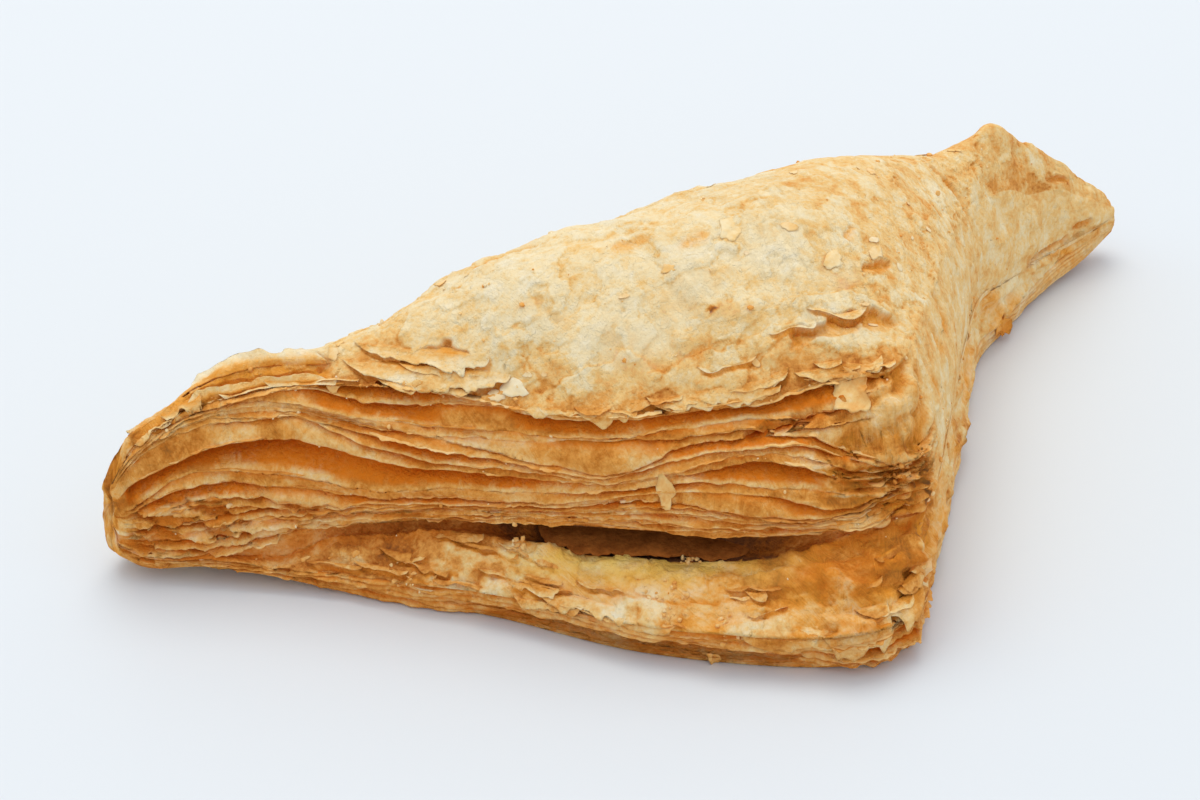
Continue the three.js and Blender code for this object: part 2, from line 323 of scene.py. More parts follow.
def lattice(ix, iy, iz, seed):  # one fixed random number from 0 to 1 at each whole-number place
    h = (ix * 374761393 + iy * 668265263 + iz * 1442695041 + seed * 974634777) & 0xFFFFFFFF
    h = ((h ^ (h >> 13)) * 1274126177) & 0xFFFFFFFF
    h = ((h ^ (h >> 16)) * 2246822519) & 0xFFFFFFFF
    return ((h ^ (h >> 15)) & 0xFFFFFF) / 0xFFFFFF


def lumps(points, size, seed=0, octaves=1):  # smooth noise from about -1 to 1, with lumps of that size
    total = np.zeros(points.shape[:-1])
    share = 1.0
    for octave in range(octaves):
        p = points / size * 2.0**octave + 31.7 * (octave + seed)
        whole = np.floor(p).astype(np.int64)
        part = p - whole
        part = part * part * part * (part * (part * 6 - 15) + 10)
        value = 0
        for corner in range(8):
            cx, cy, cz = corner & 1, corner >> 1 & 1, corner >> 2
            weight = np.abs(1 - cx - part[..., 0]) * np.abs(1 - cy - part[..., 1])
            weight = weight * np.abs(1 - cz - part[..., 2])
            value = value + weight * lattice(whole[..., 0] + cx, whole[..., 1] + cy, whole[..., 2] + cz, seed)
        total += share * (value * 2 - 1)
        share *= 0.5
    return total


def wander(x, size, seed, octaves=2):  # the same noise along a line
    points = np.stack([x, np.full_like(x, seed * 7.3), np.zeros_like(x)], axis=-1)
    return lumps(points, size, seed, octaves)


def bump(x, middle, reach):  # 1 in the middle, 0 past the reach
    return np.clip(1 - ((x - middle) / reach) ** 2, 0, 1) ** 1.2


def ease(low, high, x):  # 0 at low, 1 at high, which may be the lesser number, and smooth between
    s = np.clip((x - low) / (high - low), 0, 1)
    return s * s * (3 - 2 * s)


def mix(a, b, share):
    return a + (b - a) * share


def throughKnots(knots, counts):  # smooth curve through the second-last axis, sampled between knots
    step = np.maximum(np.linalg.norm(np.diff(knots, axis=-2), axis=-1), 1e-6) ** 0.5
    slope = np.diff(knots, axis=-2) / step[..., None]
    share = step[..., :-1] / (step[..., :-1] + step[..., 1:])
    middle = mix(slope[..., :-1, :], slope[..., 1:, :], share[..., None])
    tangent = np.concatenate([slope[..., :1, :], middle, slope[..., -1:, :]], axis=-2)
    made = []
    for i, count in enumerate(counts):
        s = np.linspace(0, 1, count, endpoint=False)[:, None]
        h = step[..., i, None, None]
        a, b = knots[..., i, None, :], knots[..., i + 1, None, :]
        ta, tb = tangent[..., i, None, :] * h, tangent[..., i + 1, None, :] * h
        first = a * (2 * s**3 - 3 * s**2 + 1) + ta * (s**3 - 2 * s**2 + s)
        made.append(first + b * (3 * s**2 - 2 * s**3) + tb * (s**3 - s**2))
    return np.concatenate(made + [knots[..., -1:, :]], axis=-2)


def spacedCuts():  # the rows of cuts, splined and spaced evenly along the foot
    fine = throughKnots(np.array(cuts), [60] * (len(cuts) - 1))
    run = np.concatenate([[0], np.cumsum(np.linalg.norm(np.diff(fine[:, :2], axis=0), axis=1))])
    corner = np.interp(body["cornerX"], fine[:, 0], run)
    near = np.arange(0, corner, body["ringStep"])
    far = np.arange(corner, run[-1], body["ringStepFar"])
    places = np.append(np.concatenate([near, far]), run[-1])
    return np.stack([np.interp(places, run, column) for column in fine.T], axis=1), places


def leafLines(x):  # heights of all leaf edges on the upper flap's face, from 0 to 1, for each ring
    guides = [np.interp(x, *zip(*bundle["line"])) for bundle in bundles]
    lines = []
    for number, bundle in enumerate(bundles[:-1]):
        low, high = guides[number], guides[number + 1]
        for k in range(bundle["leaves"]):
            share = (k + (wander(x, 12, 40 + len(lines)) * 0.62 if k else 0)) / bundle["leaves"]
            if k and bundle["thick"]:
                left, right = bundle["thick"]
                pushed = 1 - (bundle["leaves"] - k) * 0.1
                share = mix(share, pushed, ease(left - 4, left + 4, x) * ease(right + 5, right - 5, x))
            lines.append(mix(low, high, share))
    return np.stack(lines + [guides[-1]], axis=1)


def comb(edges, depths, outs, thin, thick, wide, tall):  # heights, depths and creases of a face; a crease is how much painted shade in the crease colour a point takes
    heights, insides, creases = [], [], []
    for k in range(edges.shape[1] - 1):
        depth = depths[:, k]
        opened = ease(1.1, 2.4, depth)
        puffed = (1 - opened) * ease(1.5, 3.0, (edges[:, k + 1] - edges[:, k]) * tall)
        for a, b, c in zip(thin, thick, wide):
            t, share = (mix(mix(a[i], b[i], puffed), c[i], opened) for i in (0, 1))
            heights.append(mix(edges[:, k], edges[:, k + 1], t))
            insides.append(share * depth - outs[:, k] * (1 - share))
            # painted shade: more crease colour deeper into each gap, in deeper gaps, and under an overhanging
            # edge
            dark = mix(ease(0.12, 0.7, share), ease(0.03, 0.15, share), opened)
            dark = dark * np.clip(0.5 + depth / 2.5, 0, 1) * np.clip(depth / 0.3, 0, 1)
            creases.append(np.maximum(dark, 0.55 * (a[0] < 0) * np.clip(depth / 0.3, 0, 1)))
    return np.stack(heights, 1), np.stack(insides, 1), np.stack(creases, 1)


def upperLeaves(x, tall):  # edges, depths and steps of the upper flap's leaves
    edges = leafLines(x)
    count = edges.shape[1] - 1
    low, thick, main = (sum(bundle["leaves"] for bundle in bundles[:k]) for k in (2, 3, 4))
    atTip = ease(*face["tip"], x)
    depths, outs = [], []
    for k in range(count):
        end = face["upperEnd"] if k >= main else face["lowerEnd"]
        fade = (1 - ease(end - 3, end + 3, x)) * atTip
        fine = ease(*face["nose"], x) * (k < low - 1)
        if k:
            waves = face["crinkle"] * (1 + 1.6 * fine) * wander(x, 1.6, 170 + k, 3)
            edges[:, k] += (waves + face["sway"] * wander(x, 7, 180 + k)) * fade / tall
        change = face["depthChange"] * wander(x, 13, 10 + k) + 0.4 * wander(x, 2.2, 110 + k)
        depth = face["depth"] * (1 + change)
        depth *= 1 - 0.85 * ease(-60, -68, x) * (k > thick)
        depth *= mix(0.2, 1, ease(-0.4, 0.1, wander(x, 15, 250 + k)))
        depths.append(np.maximum(depth * (1 + 0.3 * fine), 0.1) * fade)
        rough = face["ragged"] * (1 + 1.4 * fine) * wander(x, 1.2, 150 + k, 3)
        outs.append((0.75 * wander(x, 11, 130 + k) + rough) * fade)
    edges = np.maximum.accumulate(edges + np.arange(count + 1) * 1e-4, axis=1)
    for k in range(count):
        depths[k] = np.minimum(depths[k], 0.25 + 1.2 * (edges[:, k + 1] - edges[:, k]) * tall)
        for gap in gaps:
            if gap["leaf"] == k:
                depths[k] += gap["deep"] * bump(x, gap["x"], gap["reach"]) * atTip
    return edges, np.stack(depths, 1), np.stack(outs, 1)


def lowerLeaves(x, lift, lip, soft, far):  # the same for the lower flap's cut edge
    count = lowerEdge["leaves"]
    corner, nose, tuck = lowerEdge["corner"], lowerEdge["nose"], lowerEdge["tuck"]
    shares = np.linspace(0, 1, count + 1)[None, :] + 0 * x[:, None]
    for k in range(1, count):
        shares[:, k] += (wander(x, 7, 70 + k) * 0.3 + wander(x, 1.5, 60 + k) * 0.1) / count
    edges = mix((lift + 0.35)[:, None], lip[:, None], shares)
    atCorner, atNose, atTuck = (bump(x, part["x"], part["reach"]) for part in (corner, nose, tuck))
    depths = np.stack([lowerEdge["depth"] * (1 + 0.7 * wander(x, 5, 80 + k)) for k in range(count)], 1)
    depths += (corner["deep"] * atCorner + nose["deep"] * atNose)[:, None]
    rough = [0.5 * wander(x, 3.2, 90 + k, 3) + 0.25 * wander(x, 1.3, 95 + k, 2) for k in range(count)]
    rough = np.stack(rough, 1)
    outs = rough * (soft * (1 - 0.5 * far) * (1 + atCorner))[:, None]
    outs += np.array([-0.4, 0.1, 0.6, -0.2, 0.3]) * (1.5 * atCorner)[:, None]
    outs[:, :3] -= tuck["deep"] * atTuck[:, None] * np.array([0.7, 1.0, 0.9])
    return edges, depths * soft[:, None], outs


def buildBody():  # rings of points round the turnover, and what the finish needs to know there
    rows, run = spacedCuts()
    foot, fold = rows[:, 0:2], rows[:, 2:4]
    lift, lip, baseIn, base, rimIn, rim, crown = rows[:, 4:].T
    length = np.linalg.norm(fold - foot, axis=1)
    soft = np.clip(length / 20, 0, 1)
    x = foot[:, 0]
    nose = ease(-60, -68, x)
    base = np.maximum(base, lip + 0.35)
    direction = (fold - foot) / length[:, None]
    path = foot + direction * mix(baseIn, rimIn, 0.5)[:, None]
    window = np.hanning(25)
    window /= window.sum()
    along = np.gradient(path, axis=0)
    along = np.stack([np.convolve(np.pad(c, 12, "edge"), window, "valid") for c in along.T], 1)
    along /= np.linalg.norm(along, axis=1)[:, None]
    inward = np.stack([-along[:, 1], along[:, 0]], 1)
    far = ease(body["cornerX"] - 8, body["cornerX"] + 6, x)

    def place(d, z, inside=0.0):  # d along the cut, then on along the face's own inward direction
        xy = foot[:, None, :] + direction[:, None, :] * d[..., None]
        xy = xy + inward[:, None, :] * np.asarray(inside)[..., None]
        return np.concatenate([xy, z[..., None]], axis=2)

    def knots(*pairs):
        return np.stack([np.stack(np.broadcast_arrays(d, z), -1) for d, z in pairs], 1)

    parts = {}
    sole = throughKnots(
        knots(
            (length / 2, lift * 0.9),
            (length / 4, lift * 0.9),
            (2.2 * soft, lift * 0.9),
            (0.4 * soft, lift + 0.35),
        ),
        [4, body["soleLine"], 3],
    )[:, :-1]
    parts["sole"] = place(sole[..., 0], sole[..., 1]), None

    edges, depths, outs = lowerLeaves(x, lift, lip, soft, far)
    heights, insides, creases = comb(edges, depths, outs, lowerLeaf, lowerLeaf, lowerLeaf, 1)
    rise = np.clip((heights - edges[:, :1]) / (edges[:, -1:] - edges[:, :1]), 0, 1)
    bulge = -0.8 * soft[:, None] * np.sin(np.pi * rise * 0.7)
    parts["lowerEdge"] = place(bulge, heights, insides), creases, place(bulge, heights)

    ajar = mouthEnd["share"] * bump(x, mouthEnd["x"], mouthEnd["reach"])
    atMouth = np.maximum(bump(x, mouth["x"], mouth["reach"]), ajar)
    crease = mouth["seal"] * (1 - 0.7 * nose) * (1 - 0.85 * far) + mouth["deep"] * atMouth
    gape = 0.2 + mouth["open"] * atMouth
    crest = mix(base - mix(0.45, 1.0, ease(-2, -12, x)) * soft - gape, lip + 0.1, nose)
    lowerTop = throughKnots(
        knots(
            (-0.55 * soft, lip + 0.05),
            (baseIn * 0.3, mix(lip, crest, 0.5)),
            (baseIn * 0.65, mix(lip, crest, 0.85)),
            (baseIn + 0.3 * soft, crest),
            (baseIn + crease * 0.6, crest - 0.2 * gape),
            (baseIn + crease, crest + gape * 0.5),
            (baseIn + crease * 0.7, base - 0.35 * soft),
            (baseIn + 0.35 * soft, base - 0.15 * soft),
        ),
        [body["lowerTop"] // 3] * 3 + [body["slotLine"]] * 4,
    )
    opening = body["lowerTop"] // 3 * 3
    parts["lowerTop"] = place(lowerTop[:, :opening, 0], lowerTop[:, :opening, 1]), None
    parts["slot"] = place(lowerTop[:, opening:, 0], lowerTop[:, opening:, 1]), None

    tall = rim - base
    edges, depths, outs = upperLeaves(x, tall)
    heights, insides, creases = comb(edges, depths, outs, thinLeaf, thickLeaf, openLeaf, tall)
    rise = np.clip(heights, 0, 1)
    lean = mix(baseIn[:, None], rimIn[:, None], rise**1.3) - np.sin(np.pi * rise) * 1.2 * soft[:, None]
    heights = base[:, None] + heights * tall[:, None]
    parts["face"] = place(lean, heights, insides), creases, place(lean, heights)

    crownIn = mix(rimIn, length, 0.46)
    skin = throughKnots(
        knots(
            (rimIn + 0.2 * soft, rim + 0.15 * soft),
            (mix(rimIn, crownIn, 0.45), mix(rim, crown, 0.62)),
            (crownIn, crown),
            (mix(crownIn, length, 0.55), mix(lift, crown, 0.87)),
            (length - 2.2 * soft, mix(lift, crown, 0.6)),
            (length + 0.8 * soft, mix(lift, crown, 0.32)),
            (length - 0.2 * soft, lift + 1.2 * soft),
            (length - 2.6 * soft, lift * 0.9),
            (length * 0.75, lift * 0.9),
            (length * 0.5, lift * 0.9),
        ),
        [body["skinLine"] * share // 12 for share in (5, 4, 3)]
        + [body["foldLine"] // 3] * 3
        + [3, body["soleLine"], 3],
    )[:, :-1]
    parts["skin"] = place(skin[..., 0], skin[..., 1]), None

    points = np.concatenate([part[0] for part in parts.values()], axis=1)
    plain = np.concatenate([part[-1] if len(part) == 3 else part[0] for part in parts.values()], axis=1)
    spans, start, creases = {}, 0, np.zeros(points.shape[:2])
    for name, part in parts.items():
        spans[name] = slice(start, start + part[0].shape[1])
        start += part[0].shape[1]
        if part[1] is not None:
            creases[:, spans[name]] = part[1]
    form = {"points": points, "plain": plain, "spans": spans, "crease": creases}
    return form | {"x": x, "far": far, "nose": nose, "atMouth": atMouth, "run": run, "inward": inward}


def gridNormals(points):  # softened outward normals and lengthwise directions
    a = np.gradient(points, axis=0)
    b = np.roll(points, -2, axis=1) - np.roll(points, 2, axis=1)
    n = np.cross(a, b)
    n /= np.maximum(np.linalg.norm(n, axis=2), 1e-9)[..., None]
    for _ in range(6):
        wide = np.pad(n, ((1, 1), (0, 0), (0, 0)), "edge")
        n = n * 0.4 + (wide[:-2] + wide[2:] + np.roll(n, 1, axis=1) + np.roll(n, -1, axis=1)) * 0.15
        n /= np.maximum(np.linalg.norm(n, axis=2), 1e-9)[..., None]
    return n, a / np.maximum(np.linalg.norm(a, axis=2), 1e-9)[..., None]


def calmTop(points, skin, x):  # smooths the top between rim and fold, less on the right tip
    first, last = skin.start, skin.start + body["skinLine"] - 2
    part = points[:, first:last].copy()
    keep = ease(0, 14, np.arange(part.shape[1])) * ease(0, 14, np.arange(part.shape[1])[::-1])
    keep = mix(1, 0.12, ease(40, 50, x))[:, None] * keep[None, :]
    for _ in range(body["calming"]):
        wide = np.pad(part, ((4, 4), (1, 1), (0, 0)), "edge")
        blurred = (wide[:-8, 1:-1] + wide[8:, 1:-1] + wide[2:-6, 1:-1] + wide[6:-2, 1:-1]) * 0.2
        blurred += (wide[4:-4, :-2] + wide[4:-4, 2:]) * 0.1
        part += (blurred - part) * keep[..., None]
    points[:, first:last] = part


def around(points, normals, along, place, seed):  # ragged distance from a place, 1 at its edge
    away = points - np.array(place["at"])
    i = np.unravel_index(np.argmin((away**2).sum(-1)), away.shape[:2])
    n, t = normals[i], along[i]
    side = np.cross(n, t)
    turn = math.radians(place["turn"])
    t, side = t * math.cos(turn) + side * math.sin(turn), side * math.cos(turn) - t * math.sin(turn)
    r = np.sqrt((away @ t / place["along"]) ** 2 + (away @ side / place["across"]) ** 2)
    size = min(place["along"], place["across"])
    r += 0.42 * lumps(points, size * 1.6, seed, 2) + 0.3 * lumps(points, 1.7, seed + 1, 2)
    return r + (np.abs(away @ n) > 6) * 9.0, away @ side / place["across"]


def stretched(points, size, seed, shares, octaves=2):  # lumps drawn out where a share is under 1
    return lumps(points * np.array(shares), size, seed, octaves)


def girthFrom(points, column):  # distance along each ring from one column, negative before it
    girth = np.linalg.norm(np.diff(points, axis=1, prepend=points[:, :1]), axis=2).cumsum(axis=1)
    return girth - girth[:, column : column + 1]


def sheetPath(form, sheet, seed):  # the rings a sheet lies on, its root and how far it reaches
    first, last = np.searchsorted(form["x"], sheet["x"])
    rings = np.arange(first, last)
    place = form["run"][rings]
    ends = np.clip(1 - np.abs(np.linspace(-1, 1, len(rings))) ** 5, 0.02, 1) ** 0.7
    ragged = 1 + sheet["ragged"] * (wander(place, 6, seed) + 0.45 * wander(place, 1.3, seed + 1, 2))
    root = sheet["root"] + 0.4 * wander(place, 5, seed + 2)
    return rings, ends, root, (sheet["edge"] - sheet["root"]) * ends * np.maximum(ragged, 0.15)


def zonesOf(form, normals):  # which part of the crust each point lies in, and how far from its edges
    plain, spans = form["plain"], form["spans"]
    ones = np.ones(plain.shape[:2])
    zones = SimpleNamespace(**{name: 0 * ones for name in spans})
    for name, span in spans.items():
        getattr(zones, name)[:, span] = 1
    for name in ("far", "nose", "atMouth", "run"):
        setattr(zones, name, form[name][:, None] * ones)
    zones.near = 1 - zones.far
    zones.tail = ease(42, 60, form["x"])[:, None] * ones
    zones.x, zones.height, zones.up = plain[..., 0], plain[..., 2], normals[..., 2]
    zones.fromRim = np.maximum(girthFrom(plain, spans["skin"].start), 0) * zones.skin
    zones.fromMouth = np.maximum(-girthFrom(plain, spans["slot"].start), 0) * zones.lowerTop
    zones.fromLip = np.maximum(girthFrom(plain, spans["lowerTop"].start), 0) * zones.lowerTop
    zones.onTable = ease(1.2, 0.3, zones.height) * (zones.up < -0.3)
    zones.smooth = zones.skin * (1 - zones.onTable)
    zones.atLeft = ease(-55, -58, zones.x) * zones.skin
    zones.leafy = (zones.face + zones.lowerEdge) * zones.near
    # the right part of the lower flap under the upper flap's overhang, where painted shade makes it browner
    # and a little orange
    zones.underFlap = zones.lowerTop * ease(-24, -13, zones.x) * ease(2, 6, zones.fromLip) * zones.near
    zones.mottled = zones.lowerTop * bump(zones.x, -54, 14) * zones.near
    return zones


def faceNoise(zones, long, tall, seed, octaves, height=None):  # noise that lies along the leaves
    height = zones.height if height is None else height
    return lumps(np.stack([zones.run / long, 0 * zones.run, height / tall], 2), 1, seed, octaves)


def patternsOf(zones, plain):  # what both the relief and the tones follow
    made = SimpleNamespace()
    made.swell = lumps(plain, 17, 1, 2) * 0.7 + lumps(plain, 6, 2, 2) * 0.32 + lumps(plain, 2.4, 3, 2) * 0.12
    broad, middling = stretched(plain, 9, 4, (0.8, 1.1, 1), 4), lumps(plain, 4.2, 5, 3)
    made.broadSheets, made.middlingSheets = ease(0.02, 0.08, broad), ease(0.22, 0.28, middling)
    made.smallSheets = ease(0.3, 0.38, lumps(plain, 2.1, 6, 2))
    made.rims = np.clip(1 - np.abs(broad - 0.03) / 0.06, 0, 1)
    made.rims = made.rims + 0.7 * np.clip(1 - np.abs(middling - 0.24) / 0.06, 0, 1)
    farSide = zones.far * (zones.skin * ease(0.8, 0.3, zones.up) + zones.face)
    made.cracks = np.clip(1 - np.abs(stretched(plain, 5, 7, (1, 1, 0.3), 2)) * 5, 0, 1) ** 2
    made.cracks *= farSide * ease(0.0, 0.3, lumps(plain, 8, 23, 2))
    made.pulled = lumps(np.stack([zones.run / 9, zones.fromMouth / 1.7, 0 * zones.run], 2), 1, 15, 3)
    made.cells = faceNoise(zones, 3.6, 0.65, 16, 2)
    lowFace = zones.face * ease(0.55, 0.35, (zones.height - 4) / 18)
    made.holes = ease(0.05, 0.35, made.cells) * zones.leafy * zones.nose * (lowFace + zones.lowerEdge)
    slanted = zones.height - 0.35 * zones.run * ease(18, 24, zones.height)
    made.wrinkled = faceNoise(zones, 7, 1.9, 24, 3, slanted) + 0.4 * lumps(plain, 2.0, 25, 2)
    wrinkly = zones.face * ease(-16, -5, zones.x) + zones.lowerTop * ease(-24, -10, zones.x)
    made.wrinkled *= wrinkly * zones.near
    return made


# How high or deep each kind of relief on the crust is, in mm.
raised = {
    "broadSheet": 0.24,
    "middlingSheet": 0.2,
    "smallSheet": 0.13,
    "crack": 0.4,  # on the steep side past the square corner
    "rightTip": 0.35,  # lumps there
    "lowerFlap": 0.3,  # small lumps on its top
    "pulled": (0.28, 0.2),  # threads of the lower flap, and more toward the square corner
    "cell": 0.16,
    "fibre": 0.12,
    "hole": 1.3,  # between the fine leaves of the left tip
    "wrinkle": 1.35,  # in the face near the square corner
    "leftRim": 0.7,  # a hollow behind the rim of the left tip
    "rubble": 0.4,  # on the rough parts of the lower flap
    "farSlot": 0.35,  # the slot past the square corner
}


def reliefOf(zones, patterns, plain):  # how far each point is pushed out
    far, lower, front = zones.far, zones.lowerTop, zones.face
    swelling = zones.smooth * (1 - 0.3 * far) + lower * 0.9 + zones.lowerEdge * 0.3
    swelling = swelling + front * mix(0.15, 0.6, far)
    relief = patterns.swell * swelling
    sheeted = zones.smooth * (1 - 0.4 * far) + lower * 1.3 + front * far * 0.6
    layers = patterns.broadSheets * raised["broadSheet"] + patterns.middlingSheets * raised["middlingSheet"]
    relief += (layers + patterns.smallSheets * raised["smallSheet"]) * sheeted
    relief -= patterns.cracks * raised["crack"] * (1 - 0.7 * zones.tail)
    relief += lumps(plain, 4.5, 8, 2) * zones.tail * (zones.skin + front) * raised["rightTip"]
    relief += lumps(plain, 2.4, 9, 3) * raised["lowerFlap"] * lower
    threads, more = raised["pulled"]
    relief += patterns.pulled * (threads + more * ease(-28, -16, zones.x)) * lower
    for dent in dents:
        away = np.linalg.norm(plain - np.array(dent["at"]), axis=2) / dent["reach"]
        relief += dent["high"] * np.exp(-away * away)
    fibres = faceNoise(zones, 0.9, 2.4, 22, 2)
    fine = patterns.cells * raised["cell"] + fibres * raised["fibre"]
    relief += fine * zones.leafy - patterns.holes * raised["hole"]
    relief += patterns.wrinkled * raised["wrinkle"]
    relief -= raised["leftRim"] * bump(zones.fromRim, 3.0, 3.2) * zones.atLeft * ease(-84, -78, zones.x)
    relief += (zones.underFlap + zones.mottled) * raised["rubble"] * lumps(plain, 1.7, 26, 2)
    return relief + zones.slot * far * raised["farSlot"]


def leafTones(form):  # each leaf a little darker or paler than the next, and palest along its edge, partly a painted highlight
    x, span, count = form["x"], form["spans"]["face"], len(thinLeaf)
    tones = np.zeros(form["points"].shape[:2])
    for k in range((span.stop - span.start) // count):
        first = span.start + k * count
        own = 0.14 * wander(x, 16, 210 + k) + 0.16 * wander(x, 3, 230 + k, 3)
        tones[:, first : first + count] = own[:, None]
        # painted highlight along the leaf's lower edge, and a little browner in its middle
        tones[:, first : first + 2] -= 0.08
        tones[:, first + 3 : first + 6] += 0.06
    return tones


# How brown each part of the crust is, from 0 for pale to 1 for burnt; some entries are painted shade instead,
# as marked. Of two numbers the first is for the open side and the second for what lies past the square
# corner. All after sole is added.
brownAndShade = {
    "skin": 0.24,
    "lowerTop": (0.35, 0.26),
    "lowerEdge": (0.54, 0.34),
    "face": (0.46, 0.34),
    # painted shade in the narrow slot between the flaps
    "slot": (0.5, 0.3),
    "mouth": 1.05,  # the slot where it gapes, painted near black as its shade
    "sole": 0.55,
    "rim": 0.43,  # behind the rim of the upper flap
    "rimReach": 6.0,  # how far that goes, in mm
    "leftTip": 0.3,
    "rightTip": 0.12,
    "farSide": 0.12,  # the skin past the square corner
    "steep": 0.1,
    "onTable": 0.3,
    # painted shade in the holes between the fine leaves of the left tip
    "hole": 0.2,
    "crack": 0.12,
    "wrinkle": 0.36,  # in the grooves
    "sheetRims": 0.17,
    "broadSheet": -0.08,
    "middlingSheet": -0.06,
    # painted shade under the upper flap's overhang
    "underFlap": 0.36,
    "pulled": 0.14,  # threads of the lower flap
}


def toastOf(zones, patterns, form):  # how brown the crust is at each point, with painted shade in the holes, the slot and under the upper flap, and painted light where the lip tucks under
    plain, far, near, lower = form["plain"], zones.far, zones.near, zones.lowerTop
    atRim = brownAndShade["rim"] * np.exp(-zones.fromRim / brownAndShade["rimReach"]) * near
    toast = zones.skin * (brownAndShade["skin"] + atRim + brownAndShade["leftTip"] * ease(-76, -83, zones.x))
    # painted shade in the holes between the fine leaves
    toast += brownAndShade["hole"] * patterns.holes
    toast += zones.atLeft * (0.08 * bump(zones.fromRim, 3.2, 3.0) - 0.1 * ease(5, 7.5, zones.fromRim))
    sides = brownAndShade["farSide"] * far + brownAndShade["rightTip"] * zones.tail
    toast += zones.skin * (sides + brownAndShade["steep"] * ease(0.6, 0.0, zones.up))
    layers = brownAndShade["broadSheet"] * patterns.broadSheets + brownAndShade["middlingSheet"] * patterns.middlingSheets
    toast += zones.skin * layers
    toast += (zones.smooth + lower) * brownAndShade["sheetRims"] * np.minimum(patterns.rims, 1)
    # painted shade: the lower flap browner toward its left end, in the upper flap's shade, and a little
    # browner toward the square corner
    ends = 0.14 * ease(-42, -60, zones.x) + 0.08 * ease(-42, -52, zones.x) + 0.06 * ease(-16, -6, zones.x)
    toast += lower * (mix(*brownAndShade["lowerTop"], far) + ends + brownAndShade["pulled"] * patterns.pulled)
    toast += lower * (0.14 * lumps(plain, 7, 17, 3) + 0.1 * lumps(plain, 2.2, 19, 2))
    # painted light: the lip's cut edge paler where it overhangs around x -33, standing in for light bounced
    # from the table
    toast += zones.lowerEdge * (mix(*brownAndShade["lowerEdge"], far) - 0.08 * bump(form["x"], -33, 22)[:, None])
    leaves = (leafTones(form) + 0.1 * ease(-12, -4, zones.x)) * near
    toast += zones.face * (mix(*brownAndShade["face"], far) + leaves)
    # painted shade: the slot browner than the flaps, near black where they gape
    toast += zones.slot * mix(mix(*brownAndShade["slot"], far), brownAndShade["mouth"], zones.atMouth)
    toast += zones.sole * brownAndShade["sole"] + zones.onTable * zones.skin * brownAndShade["onTable"]
    toast += patterns.cracks * brownAndShade["crack"] - patterns.wrinkled * brownAndShade["wrinkle"]
    # painted shade under the upper flap's overhang, mottled; the mottled part on the left only varies at
    # random
    mottle = lumps(plain, 2.4, 20, 3)
    toast += zones.underFlap * brownAndShade["underFlap"] * (1 + mottle) + zones.mottled * 0.3 * mottle
    shaded = lower * ease(4.0, 0.6, zones.fromMouth) * near  # painted shade close under the upper flap
    return toast + shaded * (0.26 * ease(-22, -14, zones.x) + 0.34 * bump(zones.x, -54, 14))


def tonesOf(zones, patterns, form):  # brownness, and the shares of the colours that lie over it; the crease share is mostly painted shade
    plain, near, lower = form["plain"], zones.near, zones.lowerTop
    grooves = np.clip(-patterns.wrinkled - 0.1, 0, 0.5) * 1.2
    inner = zones.face * near * 0.25 + zones.lowerEdge * 0.15 + grooves
    # random orange patches, kept off the left end of the lower flap where shade is painted
    inner += lower * ease(0.1, 0.6, lumps(plain, 6, 18, 3)) * 0.6 * ease(-55, -42, zones.x)
    wing = zones.atLeft * bump(zones.fromRim, 3.0, 3.6) * ease(-84, -78, zones.x) * 0.9
    inner = np.maximum(np.maximum(inner, wing), zones.underFlap * 0.3)
    powder = np.clip(lumps(plain, 10, 12, 2), 0, 1) * zones.smooth * near * ease(6, 12, zones.fromRim) * 0.5
    buttery = bump(form["x"], -33, 20)[:, None] * ease(-0.6, 0.2, lumps(plain, 6, 13, 2))
    butter = lower * ease(9, 2, zones.fromMouth) * buttery
    # Painted shade in the crease colour: in the holes, in the slot (less where it gapes), and on the lower
    # flap close under the upper flap's edge. Along the pulled threads it marks real streaks.
    crease = form["crease"]
    for other in (
        patterns.holes * 0.5,
        zones.slot * mix(0.35, 0.05, zones.atMouth) * (1 - 0.8 * zones.far),
        lower * ease(2.5, 0.3, zones.fromMouth) * 0.55 * (1 - zones.atMouth) * near,
        lower * ease(0.15, 0.55, patterns.pulled) * 0.4 * ease(-24, -14, zones.x) * near,
    ):
        crease = np.maximum(crease, other)
    toast = toastOf(zones, patterns, form)
    return {"toast": toast, "inner": inner, "crease": crease, "powder": powder, "butter": butter}


def markPlaces(relief, tones, plain, normals, along):  # the single tears and spots
    for number, tear in enumerate(tears):
        r, inwards = around(plain, normals, along, tear, firstSeed["tears"] + number * 3)
        torn = ease(1.0, tear["soft"], r)
        steep = ease(-0.9, 0.5, inwards)  # deepest under the edge that lies farther in
        relief += -tear["deep"] * torn * (0.15 + 0.85 * steep) + 0.12 * bump(r, 1.1, 0.16) * steep
        # the bared layer's inner orange and browner tone, partly its own colour and partly painted shade,
        # strongest under the edge that lies farther in
        innerAndShade = torn * min(1, 0.4 + tear["toast"]) * (0.35 + 0.65 * steep)
        tones["inner"] = np.maximum(tones["inner"], innerAndShade)
        tones["toast"] = mix(tones["toast"], 0.24 + tear["toast"] * 0.52, torn * (0.4 + 0.45 * steep))
        tones["powder"] = tones["powder"] * (1 - torn)
        # painted shadow: a crease-coloured line along that edge
        edge = 0.25 * bump(r, 0.86, 0.2) * min(1, tear["deep"]) * steep
        tones["crease"] = np.maximum(tones["crease"], edge)
    for number, spot in enumerate(spots):
        inside = ease(1.2, 0.3, around(plain, normals, along, spot, firstSeed["spots"] + number * 3)[0])
        tones["toast"] = tones["toast"] + spot["toast"] * inside
        tones["powder"] = np.maximum(tones["powder"], spot["powder"] * inside)


